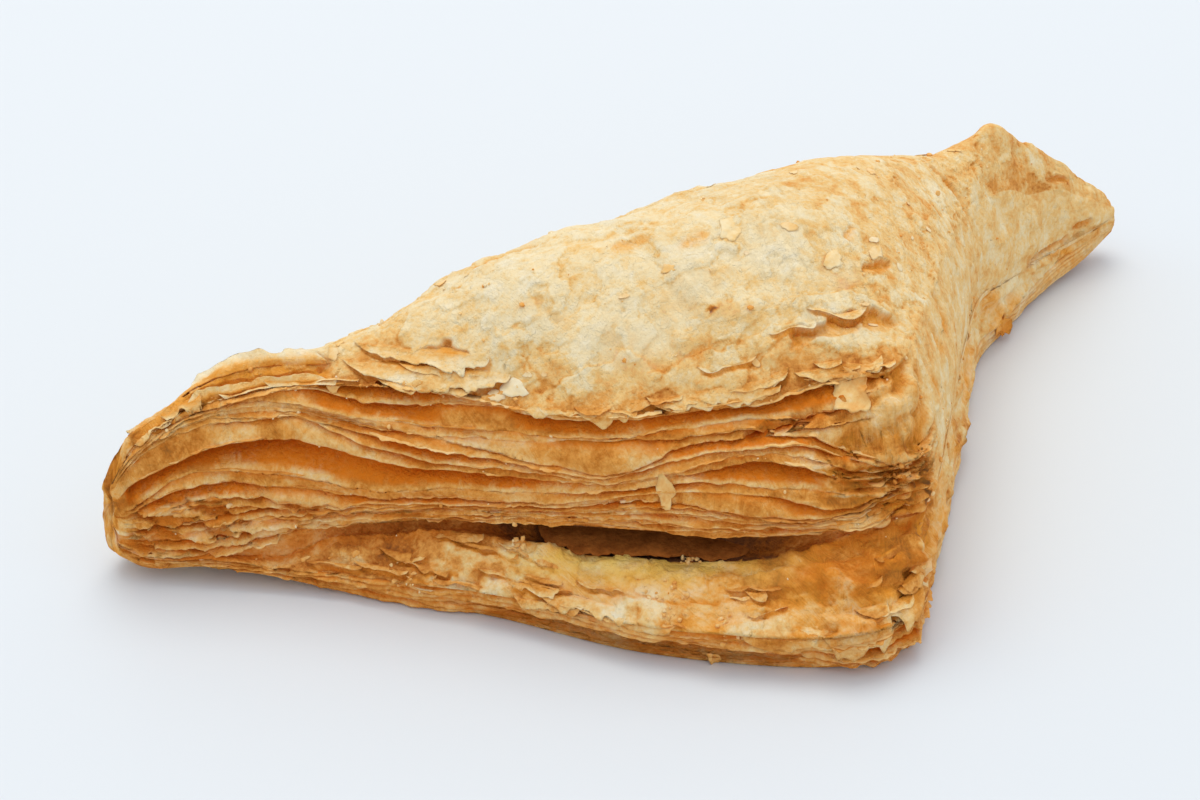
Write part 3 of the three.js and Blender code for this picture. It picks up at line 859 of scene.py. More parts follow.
def markSheets(relief, tones, zones, form):  # a sheet's free edge stands over a slit, orange and browner: partly the inner layer's colour, partly painted shade under the edge
    for number, sheet in enumerate(sheets):
        rings, reaches, root, reach = sheetPath(form, sheet, sheetSeed(number))
        girth = (zones.fromRim if sheet["on"] == "skin" else zones.fromLip)[rings]
        edge = (root + reach + 0.3 * np.sign(reach))[:, None]
        slit = bump(girth, edge, 0.4 + 0.6 * sheet["lift"]) * ease(0.3, 0.8, edge)
        slit *= getattr(zones, sheet["on"])[rings] * reaches[:, None]
        relief[rings] -= (0.25 + 0.5 * sheet["lift"]) * slit
        for name, share in (("crease", 0.3), ("inner", 0.7)):
            tones[name][rings] = np.maximum(tones[name][rings], share * slit)
        tones["toast"][rings] += 0.2 * slit


def reliefAndTone(form):  # moves the grid for blisters, sheets and tears, and works out the tones
    points, plain, x = form["points"], form["plain"], form["x"]
    for grid in (points, plain):
        calmTop(grid, form["spans"]["skin"], x)
    normals, along = gridNormals(plain)
    zones = zonesOf(form, normals)
    patterns = patternsOf(zones, plain)
    relief = reliefOf(zones, patterns, plain)
    tones = tonesOf(zones, patterns, form)
    markPlaces(relief, tones, plain, normals, along)
    markSheets(relief, tones, zones, form)
    toast = np.where(zones.lowerTop > 0, np.clip(tones["toast"], 0.28, 0.72), tones["toast"])
    tones["toast"] = np.where(zones.face * zones.near > 0.5, np.maximum(toast, 0.36), toast)

    rings = np.arange(len(x))
    ends = (ease(0, 10, rings) * ease(0, 8, rings[::-1]) * 0.8 + 0.2)[:, None]
    relief *= (1 - zones.onTable) * ends
    points = points + normals * relief[..., None]
    points[..., 2] = np.maximum(points[..., 2], 0)
    form["points"] = points
    form["plain"] = plain + normals * (patterns.swell * zones.smooth * ends)[..., None]
    form["normals"] = normals
    form["tones"] = tones
    form["lay"] = np.stack([zones.run, girthFrom(points, 0), 0 * zones.run], axis=2)
    return form


def roundTips(form):  # closes both ends with rings that shrink along a quarter circle
    points, tipRings = form["points"], body["tipRings"]

    def tip(ring, inner, reverse):
        middle = ring.mean(axis=0)
        outward = (middle - inner.mean(axis=0)) * np.array([1, 1, 0])
        outward *= body["tipRound"] / np.linalg.norm(outward)
        angles = np.linspace(0, math.pi / 2, tipRings + 1)[1:] * 0.97
        rings = np.stack([middle + (ring - middle) * math.cos(a) + outward * math.sin(a) for a in angles])
        rings += outward * 0.35 * lumps(rings, 1.7, 27, 3)[..., None] * np.sin(angles)[:, None, None]
        return rings[::-1] if reverse else rings

    left, right = tip(points[0], points[6], True), tip(points[-1], points[-7], False)
    form["points"] = np.concatenate([left, points, right])
    tones = form["tones"]
    for name in tones:
        tones[name] = np.pad(tones[name], ((tipRings, tipRings), (0, 0)), "edge")
    tones["toast"][:tipRings] += 0.45 * lumps(left, 1.3, 28, 3)
    tones["inner"][:tipRings] = 0.5 + 0.5 * lumps(left, 2.2, 30, 2)
    form["lay"] = np.pad(form["lay"], ((tipRings, tipRings), (0, 0), (0, 0)), "edge")


def ringFaces(rings, count):  # quads between the rings, and a web across each end
    i = np.arange(rings - 1)[:, None] * count
    j = np.arange(count)[None, :]
    k = (j + 1) % count
    faces = np.stack([i + j, i + count + j, i + count + k, i + k], -1).reshape(-1, 4).tolist()
    last = (rings - 1) * count
    for j in range(count // 2):
        a, b, c, d = j, j + 1, count - 2 - j, count - 1 - j
        for corners in ((a, b, c), (a, c, d)):
            if b <= c and len(set(corners)) == 3:
                faces.append(list(corners))
                faces.append([last + corner for corner in reversed(corners)])
    return faces


def meshPiece(name, points, faces, numbers=None, vectors=None):
    mesh = bpy.data.meshes.new(name)
    mesh.from_pydata((np.asarray(points) * mm).tolist(), [], faces)
    for kind, values in (("FLOAT", numbers or {}), ("FLOAT_VECTOR", vectors or {})):
        for label, value in values.items():
            layer = mesh.attributes.new(label, kind, "POINT")
            flat = np.asarray(value, dtype=np.float32).ravel()
            layer.data.foreach_set("value" if kind == "FLOAT" else "vector", flat)
    mesh.polygons.foreach_set("use_smooth", [True] * len(mesh.polygons))
    return placed(name, mesh)


def applied(piece):  # puts the modifiers' result into the piece's own mesh
    made = bpy.data.meshes.new_from_object(piece.evaluated_get(bpy.context.evaluated_depsgraph_get()))
    piece.modifiers.clear()
    old = piece.data
    piece.data = made
    made.name = old.name
    bpy.data.meshes.remove(old)


def thinTo(piece, triangles):  # brings the mesh down to that many triangles
    count = sum(len(p.vertices) - 2 for p in piece.data.polygons)
    if count > triangles:
        modifier = piece.modifiers.new("fewer", "DECIMATE")
        modifier.ratio = triangles / count
        applied(piece)


print("shaping the crust")
form = reliefAndTone(buildBody())
openRings = form["points"]  # without the tips' rings
roundTips(form)
bodyFaces = ringFaces(*form["points"].shape[:2])
bodyPoints = form["points"].reshape(-1, 3)
crust = meshPiece("crust", bodyPoints, bodyFaces, form["tones"], {"lay": form["lay"]})
skinTree = BVHTree.FromPolygons(bodyPoints.tolist(), bodyFaces)
print("crust", len(bodyFaces), "faces before thinning")
thinTo(crust, body["trianglesKept"])
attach(crust, "root")
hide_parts("pastry_crust")

filling = {
    "voxel": 0.55,
    "grit": 0.3,  # how rough it is
    "gritSize": 1.6,
    "toMouth": (-0.62, -0.785),  # direction from the filling to the mouth
    "bulgeFrom": 19.0,  # how far that way it starts to swell
    "bulge": 4.2,  # how far its foot swells toward the mouth
    "bulgeRight": 4.0,  # more on the right, where it starts farther in
    "bulgeLeft": 1.4,  # and a little more left of the middle
    "sink": 1.2,  # how far that part comes down
    "slope": (9.2, 10.4),  # between these heights its front falls back from the mouth
    "fallBack": 9.5,
    "clear": 3.5,  # how far it stays back behind the upper flap's leaves
    "stretch": 6.0,  # how far its right end is drawn out along the mouth
}


def buildFilling():  # the sweet filling, roughened all over, seen at the mouth
    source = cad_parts["filling"]
    piece = placed("sweetFilling", source.data.copy())
    piece.matrix_world = source.matrix_world
    piece.data.materials.clear()
    modifier = piece.modifiers.new("even", "REMESH")
    modifier.mode = "VOXEL"
    modifier.voxel_size = filling["voxel"] * mm
    applied(piece)
    count = len(piece.data.vertices)
    points, normals = np.empty(count * 3), np.empty(count * 3)
    piece.data.vertices.foreach_get("co", points)
    piece.data.vertex_normals.foreach_get("vector", normals)
    points, normals = points.reshape(-1, 3) / mm, normals.reshape(-1, 3)
    toMouth = np.array(filling["toMouth"])
    alongMouth = np.array((-toMouth[1], toMouth[0]))
    push = lumps(points, filling["gritSize"], 21, 3) * filling["grit"]
    atMouth = ease(filling["bulgeFrom"], filling["bulgeFrom"] + 5, points[:, :2] @ toMouth)
    points += normals * (push - 0.1)[:, None]
    points[:, 2] -= filling["sink"] * atMouth
    across = points[:, :2] @ alongMouth
    bulge = filling["bulge"] + filling["bulgeRight"] * ease(-16, -2, across)
    bulge = bulge + filling["bulgeLeft"] * bump(across, -25, 9)
    moved = (bulge - filling["fallBack"] * ease(*filling["slope"], points[:, 2])) * atMouth
    front = ease(4, 14, points[:, :2] @ toMouth)
    moved -= filling["clear"] * ease(15, 20, points[:, 2]) * front
    points[:, :2] += moved[:, None] * toMouth
    drawn = filling["stretch"] * ease(-20, -2, across) * atMouth
    points[:, :2] += drawn[:, None] * alongMouth
    piece.data.vertices.foreach_set("co", (points * mm).ravel())
    piece.data.polygons.foreach_set("use_smooth", [True] * len(piece.data.polygons))
    return piece


print("filling")
sweetFilling = buildFilling()
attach(sweetFilling, "root")
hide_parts("filling")


class Heap:  # gathers many small closed solids into one mesh
    def __init__(self):
        self.points, self.faces, self.numbers, self.lays, self.count = [], [], [], [], 0

    def add(self, points, faces, toast, inner, lay=None):
        points = np.asarray(points)
        self.points.append(points)
        self.lays.append(points if lay is None else lay)
        self.faces += [[v + self.count for v in face] for face in faces]
        tones = np.empty((len(points), 2))
        tones[:, 0], tones[:, 1] = toast, inner
        self.numbers.append(tones)
        self.count += len(points)

    def piece(self, name):
        points, numbers = np.concatenate(self.points), np.concatenate(self.numbers)
        zero = np.zeros(len(points))
        tones = {"toast": numbers[:, 0], "inner": numbers[:, 1]}
        tones |= {"crease": zero, "powder": zero, "butter": zero}
        piece = meshPiece(name, points, self.faces, tones, {"lay": np.concatenate(self.lays)})
        print(name, sum(len(face) - 2 for face in self.faces), "triangles")
        return piece


# Thin torn edges that stand out of the leaves, along the rings of the crust.
fringe = {
    "seed": 31,
    "runsPerLeaf": 6,
    "shortest": 8,  # in rings
    "longest": 42,
    "reach": 0.7,  # how far an edge stands out
    "thick": 0.09,
    "root": 0.9,  # how deep it starts inside the leaf
}


def ribbonFaces(rings, count):  # quads between the rings of a strip, and one face at each end
    faces = []
    for i in range(rings - 1):
        for j in range(count):
            k = (j + 1) % count
            faces.append([i * count + j, i * count + k, (i + 1) * count + k, (i + 1) * count + j])
    last = (rings - 1) * count
    faces.append(list(range(count))[::-1])
    faces.append([last + j for j in range(count)])
    return faces


def addRibbon(heap, rings, column, reach, curl, seed, tone):  # one ragged strip along a leaf's edge
    base = openRings[rings, column]
    out = -form["inward"][rings]
    place = form["run"][rings]
    ends = ease(0, 4, np.arange(len(rings))) * ease(0, 4, np.arange(len(rings))[::-1])
    ragged = 0.45 + 0.5 * wander(place, 2.6, seed) + 0.6 * wander(place, 0.8, seed + 1, 2)
    tip = reach * ragged * ends - 0.12
    lift = curl * (0.6 + 0.6 * wander(place, 3.5, seed + 2)) * ends
    outline = [(0, 1), (0.35, 1), (0.7, 1), (1, 0.4), (1, -0.4), (0.7, -1), (0.35, -1), (0, -1)]
    loops = []
    for share, side in outline:  # share of its reach, side of its middle
        side = side * fringe["thick"] / 2
        d = -fringe["root"] + (tip + fringe["root"]) * share
        bent = lift * np.clip(d / max(reach, 0.1), 0, 2) ** 2
        z = np.maximum(base[:, 2] + 0.12 + side + bent, 0.05 + side)
        loops.append(np.concatenate([base[:, :2] + out * d[:, None], z[:, None]], axis=1))
    strip = np.stack(loops, 1)
    # the strip's underside browner and more orange: partly the inner layer's colour, partly painted shade
    under = np.tile(np.array([0, 0, 0, 0, 1, 1, 1, 1]), len(rings))
    faces = ribbonFaces(*strip.shape[:2])
    heap.add(strip.reshape(-1, 3), faces, tone[0] + 0.15 * under, tone[1] + 0.6 * under)


def buildFringe(heap):
    rng = np.random.default_rng(fringe["seed"])
    x, edge, skin = form["x"], form["spans"]["lowerEdge"], form["spans"]["skin"]
    upper, leafLong = form["spans"]["face"], len(thinLeaf)
    columns = []  # column of the grid, between which x, how many runs and how brown
    for first in range(upper.start + leafLong, upper.stop, leafLong):
        columns.append((first + 1, -84, 1.5, fringe["runsPerLeaf"], 0.5))
    columns.append((upper.start + 1, -80, 0, 9, 0.45))
    columns.append((skin.start, -82, -2, 14, 0.42))
    for k in range(lowerEdge["leaves"]):
        columns.append((edge.start + k * len(lowerLeaf) + 1, -56, 5, 6, 0.5))
        columns.append((edge.start + k * len(lowerLeaf) + 1, -22, 5, 3, 0.5))
    columns.append((edge.stop - 4, -60, 4, 16, 0.42))
    for column, low, high, runs, toast in columns:
        first, last = np.searchsorted(x, (low, high))
        for _ in range(runs):
            long = int(rng.integers(fringe["shortest"], fringe["longest"]))
            start = int(rng.integers(first, max(first + 1, last - long)))
            rings = np.arange(start, min(start + long, last))
            if len(rings) < 6:
                continue
            reach = fringe["reach"] * rng.uniform(0.35, 1.25)
            tone = (toast + rng.uniform(-0.16, 0.12), rng.uniform(0, 0.35))
            curl = rng.uniform(-0.25, 0.45)
            addRibbon(heap, rings, column, reach, curl, int(rng.integers(1000, 9999)), tone)


def addSheet(heap, sheet, seed):  # one hanging sheet, laid over the crust from its root to its edge
    rings, ends, root, reach = sheetPath(form, sheet, seed)
    place = form["run"][rings]
    girth = girthFrom(form["plain"][rings], form["spans"][sheet["on"]].start)
    tones = np.stack([form["tones"][name][rings + body["tipRings"]] for name in ("toast", "inner")], -1)
    known = np.concatenate([form["plain"][rings], form["normals"][rings], tones], axis=2)
    lift = sheet["lift"] * ends * (0.7 + 0.6 * wander(place, 4, seed + 3))

    def sampled(share):  # place, normal and tones of the crust at that share of the sheet's reach
        rows = zip(root, reach, girth, known)
        return np.array([[np.interp(r + d * share, g, k[:, c]) for c in range(8)] for r, d, g, k in rows])

    shares = np.linspace(0, 1, sheetSteps)
    tops, bottoms, local = [], [], []
    for share in shares:
        found = sampled(share)
        at, out = found[:, :3], found[:, 3:6]
        local.append(found[:, 6:])
        high = -0.25 + 0.5 * ease(0, 0.3, share) + lift * share**2
        high = high + 0.1 * lumps(at, 1.5, seed + 4, 2) + 0.22 * share * lumps(at, 3.5, seed + 5, 2)
        half = sheetThick * mix(0.5, 0.2, share)
        for side, made in ((half, tops), (-half, bottoms)):
            points = at + out * (high + side)[:, None]
            points[:, 2] = np.maximum(points[:, 2], 0.1 + side)
            made.append(points)
    strip = np.stack(tops + bottoms[::-1], 1)
    local = np.stack(local + local[::-1], 1)
    shares = np.concatenate([shares, shares[::-1]])[None, :] + 0 * place[:, None]
    # browner at the root and paler toward the free edge, partly painted light shining through the thin sheet
    own = mix(*sheet["toast"], ease(0.3, 0.9, shares)) + 0.1 * lumps(strip, 3, seed + 5, 3)
    toast = mix(local[..., 0], own, ease(0.1, 0.6, shares))
    own = sheet["inner"] * (1 - ease(0.4, 0.9, shares)) + 0.15 * np.clip(lumps(strip, 4, seed + 6, 2), 0, 1)
    inner = mix(local[..., 1], own, ease(0.1, 0.6, shares))
    inner[:, sheetSteps:] = 0.5
    lay = np.stack([place[:, None] + 0 * shares, root[:, None] + reach[:, None] * shares, 0 * shares], 2)
    faces = ribbonFaces(*strip.shape[:2])
    heap.add(strip.reshape(-1, 3), faces, toast.ravel(), inner.ravel(), lay.reshape(-1, 3))


# Loose flakes, each a thin ragged solid laid on the crust with a lifted edge.
flakes = {
    "seed": 41,
    "thick": 0.11,
    "scattered": 46,
    "smallest": 0.4,
    "largest": 1.3,
    # place, half length and width, turn, lift of the far edge, its direction, toast, inner
    "named": table("at size turn lift toward tone", [
        ((-39.3, 3.8, 29.4), (1.9, 1.5), 0, 0.15, 270, (0.06, 0.0)),
        ((-1.4, -21.0, 29.3), (2.9, 3.3), 30, 1.2, 200, (0.42, 0.0)),
        ((-27.8, -15.4, 19.3), (1.3, 2.1), 10, 0.8, 90, (0.38, 0.1)),
        ((54.5, 19.2, 2.4), (3.2, 2.8), 20, 1.0, 300, (0.6, 0.5)),
        ((-28.5, -28.2, 1.5), (1.6, 1.4), 0, 0.8, 270, (0.5, 0.4)),
        ((13, -4.2, 39), (2.6, 1.2), -20, 0.1, 270, (0.3, 0.1)),
        ((5, -5.5, 40.3), (2.0, 1.3), 30, 0.08, 250, (0.27, 0.0)),
        ((-6, 4.0, 42.0), (2.6, 1.6), 15, 0.03, 90, (0.26, 0.0)),
        ((-20, 34, 29), (3.2, 2.5), 40, 0.15, 200, (0.25, 0.0)),
        ((28, 34, 28), (3.4, 2.2), -30, 0.15, 30, (0.25, 0.0)),
    ]),
}


def flakeOutline(angles, big, seed):  # how far a flake's ragged, straight-sided outline is from its middle
    chance = np.random.default_rng(seed)
    corners = int(chance.integers(4, 8))
    turns = (np.arange(corners) + chance.uniform(-0.3, 0.3, corners)) * 2 * math.pi / corners
    turns = np.sort(turns % (2 * math.pi))
    radii = chance.uniform(0.65, 1.25, corners)
    after = np.searchsorted(turns, angles, side="right") % corners
    gap = (turns[after] - turns[after - 1]) % (2 * math.pi)
    past = (angles - turns[after - 1]) % (2 * math.pi)
    outline = radii[after] * radii[after - 1] * np.sin(gap)
    outline /= radii[after - 1] * np.sin(past) + radii[after] * np.sin(gap - past)
    circle = np.stack([np.cos(angles), np.sin(angles), 0 * angles], 1) * big
    return outline + 0.45 * lumps(circle, 1.2, seed, 3) / max(big, 1)


def heightsOnCrust(flat, n, rounds, spokes):  # how high the crust lies over a flake's plane, softened
    high = np.zeros(len(flat))
    for i, p in enumerate(flat):
        hit = skinTree.ray_cast(Vector(p + n * 5), Vector(-n), 9)[0]
        high[i] = (np.array(hit) - p) @ n if hit is not None else -0.6
    high = np.clip(high, -1.2, 1.2)
    grid = high[1:].reshape(rounds, spokes)
    for _ in range(3):
        padded = np.concatenate([np.full((1, spokes), high[0]), grid, grid[-1:]])
        grid = (padded[:-2] + padded[2:] + np.roll(grid, 1, 1) + np.roll(grid, -1, 1) + grid * 2) / 6
    return np.concatenate([[grid[0].mean()], grid.ravel()])


def flakeFaces(rounds, spokes):  # two webs of rings round a middle point, joined at the rim
    total = 1 + rounds * spokes
    faces = []
    for j in range(spokes):
        k = (j + 1) % spokes
        faces.append([0, 1 + j, 1 + k])
        faces.append([total, total + 1 + k, total + 1 + j])
        for i in range(rounds - 1):
            p, q = 1 + i * spokes, 1 + (i + 1) * spokes
            faces.append([p + j, q + j, q + k, p + k])
            faces.append([total + p + k, total + q + k, total + q + j, total + p + j])
        rim = 1 + (rounds - 1) * spokes
        faces.append([rim + j, total + rim + j, total + rim + k, rim + k])
    return faces


def addFlake(heap, item, seed):  # one flake, on the crust nearest to its place
    near, normal, _, _ = skinTree.find_nearest(Vector(item["at"]))
    n = np.array(normal)
    first = np.cross((0, 0, 1.0), n)
    if np.linalg.norm(first) < 0.2:  # on flat places it lies along the open side
        first = np.array([0.78, -0.62, 0]) - n * (0.78 * n[0] - 0.62 * n[1])
    first /= np.linalg.norm(first)
    second = np.cross(n, first)
    turn = math.radians(item["turn"])
    e1 = first * math.cos(turn) + second * math.sin(turn)
    e2 = second * math.cos(turn) - first * math.sin(turn)
    wide, tall = item["size"]
    big = max(wide, tall)
    spokes = int(np.clip(big * 14, 14, 120))
    rounds = int(np.clip(big * 2.2, 3, 12))
    angles = np.linspace(0, 2 * math.pi, spokes, endpoint=False)
    outline = flakeOutline(angles, big, seed)
    shares = np.linspace(0, 1, rounds + 1)[1:]
    a = np.concatenate([[0], (shares[:, None] * outline * np.cos(angles) * wide).ravel()])
    b = np.concatenate([[0], (shares[:, None] * outline * np.sin(angles) * tall).ravel()])
    flat = np.array(near) + a[:, None] * e1 + b[:, None] * e2
    high = heightsOnCrust(flat, n, rounds, spokes)
    toward = math.radians(item["toward"])
    reach = np.concatenate([[0], np.repeat(shares, spokes)])
    facing = np.concatenate([[0], np.tile(np.cos(angles - toward), rounds)])
    curl = item["lift"] * reach**2.5 * (0.25 + 0.75 * np.clip(facing, 0, 1))
    curl *= 1 + 0.5 * lumps(flat, max(big * 0.5, 0.8), seed + 2, 2)
    thick = flakes["thick"] * mix(1, 0.5, reach)
    surface = flat + n * (high + 0.06 + curl + 0.05 * lumps(flat, 1.0, seed + 3))[:, None]
    over, under = surface + n * thick[:, None] / 2, surface - n * thick[:, None] / 2
    over[:, 2] = np.maximum(over[:, 2], 0.03 + thick)
    under[:, 2] = np.maximum(under[:, 2], 0.03)
    toast = item["tone"][0] + 0.1 * lumps(flat, 2, seed + 4)
    faces = flakeFaces(rounds, spokes)
    heap.add(np.concatenate([over, under]), faces, np.concatenate([toast, toast]), item["tone"][1])


def buildFlakes(heap):
    rng = np.random.default_rng(flakes["seed"])
    for number, item in enumerate(flakes["named"]):
        addFlake(heap, item, firstSeed["namedFlakes"] + number * 7)
    skin, lower = form["spans"]["skin"], form["spans"]["lowerTop"]
    for number in range(flakes["scattered"]):
        low = rng.random() < 0.22
        span = (lower.start, lower.stop - 6) if low else (skin.start + 2, skin.start + body["skinLine"])
        ring = int(rng.integers(30, np.searchsorted(form["x"], 52)))
        at = openRings[ring, int(rng.integers(*span))]
        size = rng.uniform(flakes["smallest"], flakes["largest"]) ** 1.1 * (0.6 if low else 1)
        item = {
            "at": at,
            "size": (size, size * rng.uniform(0.4, 0.9)),
            "turn": rng.uniform(-40, 40),
            "lift": rng.uniform(0.0, 0.15),
            "toward": rng.uniform(0, 360),
            "tone": (rng.uniform(0.12, 0.34) + (0.2 if at[0] < -50 or low else 0), rng.uniform(0, 0.3)),
        }
        addFlake(heap, item, firstSeed["scatteredFlakes"] + number * 7)


print("torn edges and flakes")
tornEdges = Heap()
buildFringe(tornEdges)
tornEdgesPiece = tornEdges.piece("tornEdges")
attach(tornEdgesPiece, "root")
hangingSheets = Heap()
for number, sheet in enumerate(sheets):
    addSheet(hangingSheets, sheet, sheetSeed(number))
hangingSheetsPiece = hangingSheets.piece("hangingSheets")
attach(hangingSheetsPiece, "root")
looseFlakes = Heap()
buildFlakes(looseFlakes)
looseFlakesPiece = looseFlakes.piece("looseFlakes")
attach(looseFlakesPiece, "root")

crumbs = {
    "seed": 51,
    "scattered": 240,
    "smallest": 0.12,
    "largest": 0.42,
    # middle, spread, number, toast
    "heaps": [
        ((-24.4, -16.8, 9.9), 1.6, 26, 0.42),
        ((-42.8, -2.6, 10.2), 1.3, 14, 0.42),
        ((-31.0, -22.0, 7.0), 3.2, 30, 0.4),
        ((-26.5, -28.2, 4.6), 2.2, 22, 0.4),
        ((-1.0, -29.5, 20.8), 1.8, 16, 0.6),
        ((-57.0, 4.7, 4.2), 4.0, 14, 0.4),
    ],
}


def ballShape():  # what each crumb is squashed from
    ball = bmesh.new()
    bmesh.ops.create_icosphere(ball, subdivisions=2, radius=1)
    points = np.array([v.co[:] for v in ball.verts])
    faces = [[v.index for v in f.verts] for f in ball.faces]
    ball.free()
    return points, faces


def addCrumb(heap, shape, at, size, seed, toast):  # one crumb, on the crust nearest to its place
    near, normal, _, _ = skinTree.find_nearest(Vector(at))
    middle = np.array(near) + np.array(normal) * size * 0.35
    chance = np.random.default_rng(seed)
    squash = chance.uniform(0.5, 1.2, 3)
    points = shape[0] * (1 + 0.4 * lumps(shape[0], 0.9, seed % 997, 2))[:, None] * size * squash + middle
    points[:, 2] = np.maximum(points[:, 2], 0.02)
    heap.add(points, shape[1], toast, chance.uniform(0, 0.3))


def buildCrumbs(heap):
    shape = ballShape()
    rng = np.random.default_rng(crumbs["seed"])
    for middle, spread, number, toast in crumbs["heaps"]:
        for _ in range(number):
            at = np.array(middle) + rng.normal(0, spread / 2, 3)
            size = rng.uniform(crumbs["smallest"], crumbs["largest"])
            addCrumb(heap, shape, at, size, int(rng.integers(1e6)), toast + rng.uniform(-0.12, 0.12))
    rings, columns = openRings.shape[:2]
    for _ in range(crumbs["scattered"]):
        at = openRings[int(rng.integers(20, rings - 12)), int(rng.integers(60, columns - 20))]
        size = crumbs["smallest"] + (crumbs["largest"] - crumbs["smallest"]) * rng.random() ** 3
        addCrumb(heap, shape, at, size, int(rng.integers(1e6)), rng.uniform(0.1, 0.6))


print("crumbs")
crumbHeap = Heap()
buildCrumbs(crumbHeap)
crumbsPiece = crumbHeap.piece("crumbs")
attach(crumbsPiece, "root")


# Shader groups, made once.
def newGroup(name, inputs, outputs):
    group = bpy.data.node_groups.new(name, "ShaderNodeTree")
    for label, kind in inputs:
        group.interface.new_socket(label, in_out="INPUT", socket_type=kind)
    for label, kind in outputs:
        group.interface.new_socket(label, in_out="OUTPUT", socket_type=kind)
    return group, group.nodes.new("NodeGroupInput"), group.nodes.new("NodeGroupOutput")


def maths(tree, operation, a, b=None, clamp=False):
    node = tree.nodes.new("ShaderNodeMath")
    node.operation = operation
    node.use_clamp = clamp
    for socket, value in zip(node.inputs, (a, b)):
        if isinstance(value, (int, float)):
            socket.default_value = value
        elif value is not None:
            tree.links.new(value, socket)
    return node.outputs[0]


def noise(tree, vector, scale, detail, roughness=0.55, distortion=0.0):
    node = tree.nodes.new("ShaderNodeTexNoise")
    values = {"Scale": scale, "Detail": detail, "Roughness": roughness, "Distortion": distortion}
    for label, value in values.items():
        node.inputs[label].default_value = value
    tree.links.new(vector, node.inputs["Vector"])
    return maths(tree, "SUBTRACT", node.outputs["Fac"], 0.5)


def scaled(tree, vector, scale):
    node = tree.nodes.new("ShaderNodeVectorMath")
    node.operation = "MULTIPLY"
    tree.links.new(vector, node.inputs[0])
    node.inputs[1].default_value = scale
    return node.outputs[0]


def steps(tree, value, level):  # 1 where the value is over the level, with a crisp edge
    return maths(tree, "MULTIPLY", maths(tree, "SUBTRACT", value, level), 16.0, True)


def blended(tree, factor, a, b):
    node = tree.nodes.new("ShaderNodeMix")
    node.data_type = "RGBA"
    tree.links.new(factor, node.inputs["Factor"])
    for label, value in (("A", a), ("B", b)):
        socket = [s for s in node.inputs if s.name == label and s.type == "RGBA"][0]
        if isinstance(value, tuple):
            socket.default_value = (*value, 1)
        else:
            tree.links.new(value, socket)
    return [s for s in node.outputs if s.type == "RGBA"][0]


print("materials")
# Colours of the baked dough, from pale to burnt.
bakedColours = [
    (0.0, (0.91, 0.78, 0.54)),
    (0.2, (0.89, 0.70, 0.40)),
    (0.38, (0.86, 0.55, 0.21)),
    (0.56, (0.77, 0.34, 0.075)),
    (0.75, (0.5, 0.155, 0.022)),
    (0.9, (0.22, 0.07, 0.018)),
    (1.0, (0.07, 0.03, 0.018)),
]
# Colours that lie over it: which tone lays it on, the colour, how patchy it is and its usual strength.
overColours = [
    ("Inner", (0.88, 0.35, 0.035), 0.8, 0.75),
    # Crease is a deep red-orange: the inner layers' orange, darkened and reddened as painted shade in
    # creases, slits and holes. On the lower flap it also marks real streaks.
    ("Crease", (0.73, 0.19, 0.01), 0.6, 0.95),
    ("Butter", (0.91, 0.62, 0.13), 1.2, 0.6),
]
flourColour = (0.92, 0.82, 0.60)
# Noise scales for each metre, from broad patches to the finest grain.
toneScales = {"broad": 75, "plates": 140, "patch": 300, "chips": 420, "fine": 1500, "grain": 4200}


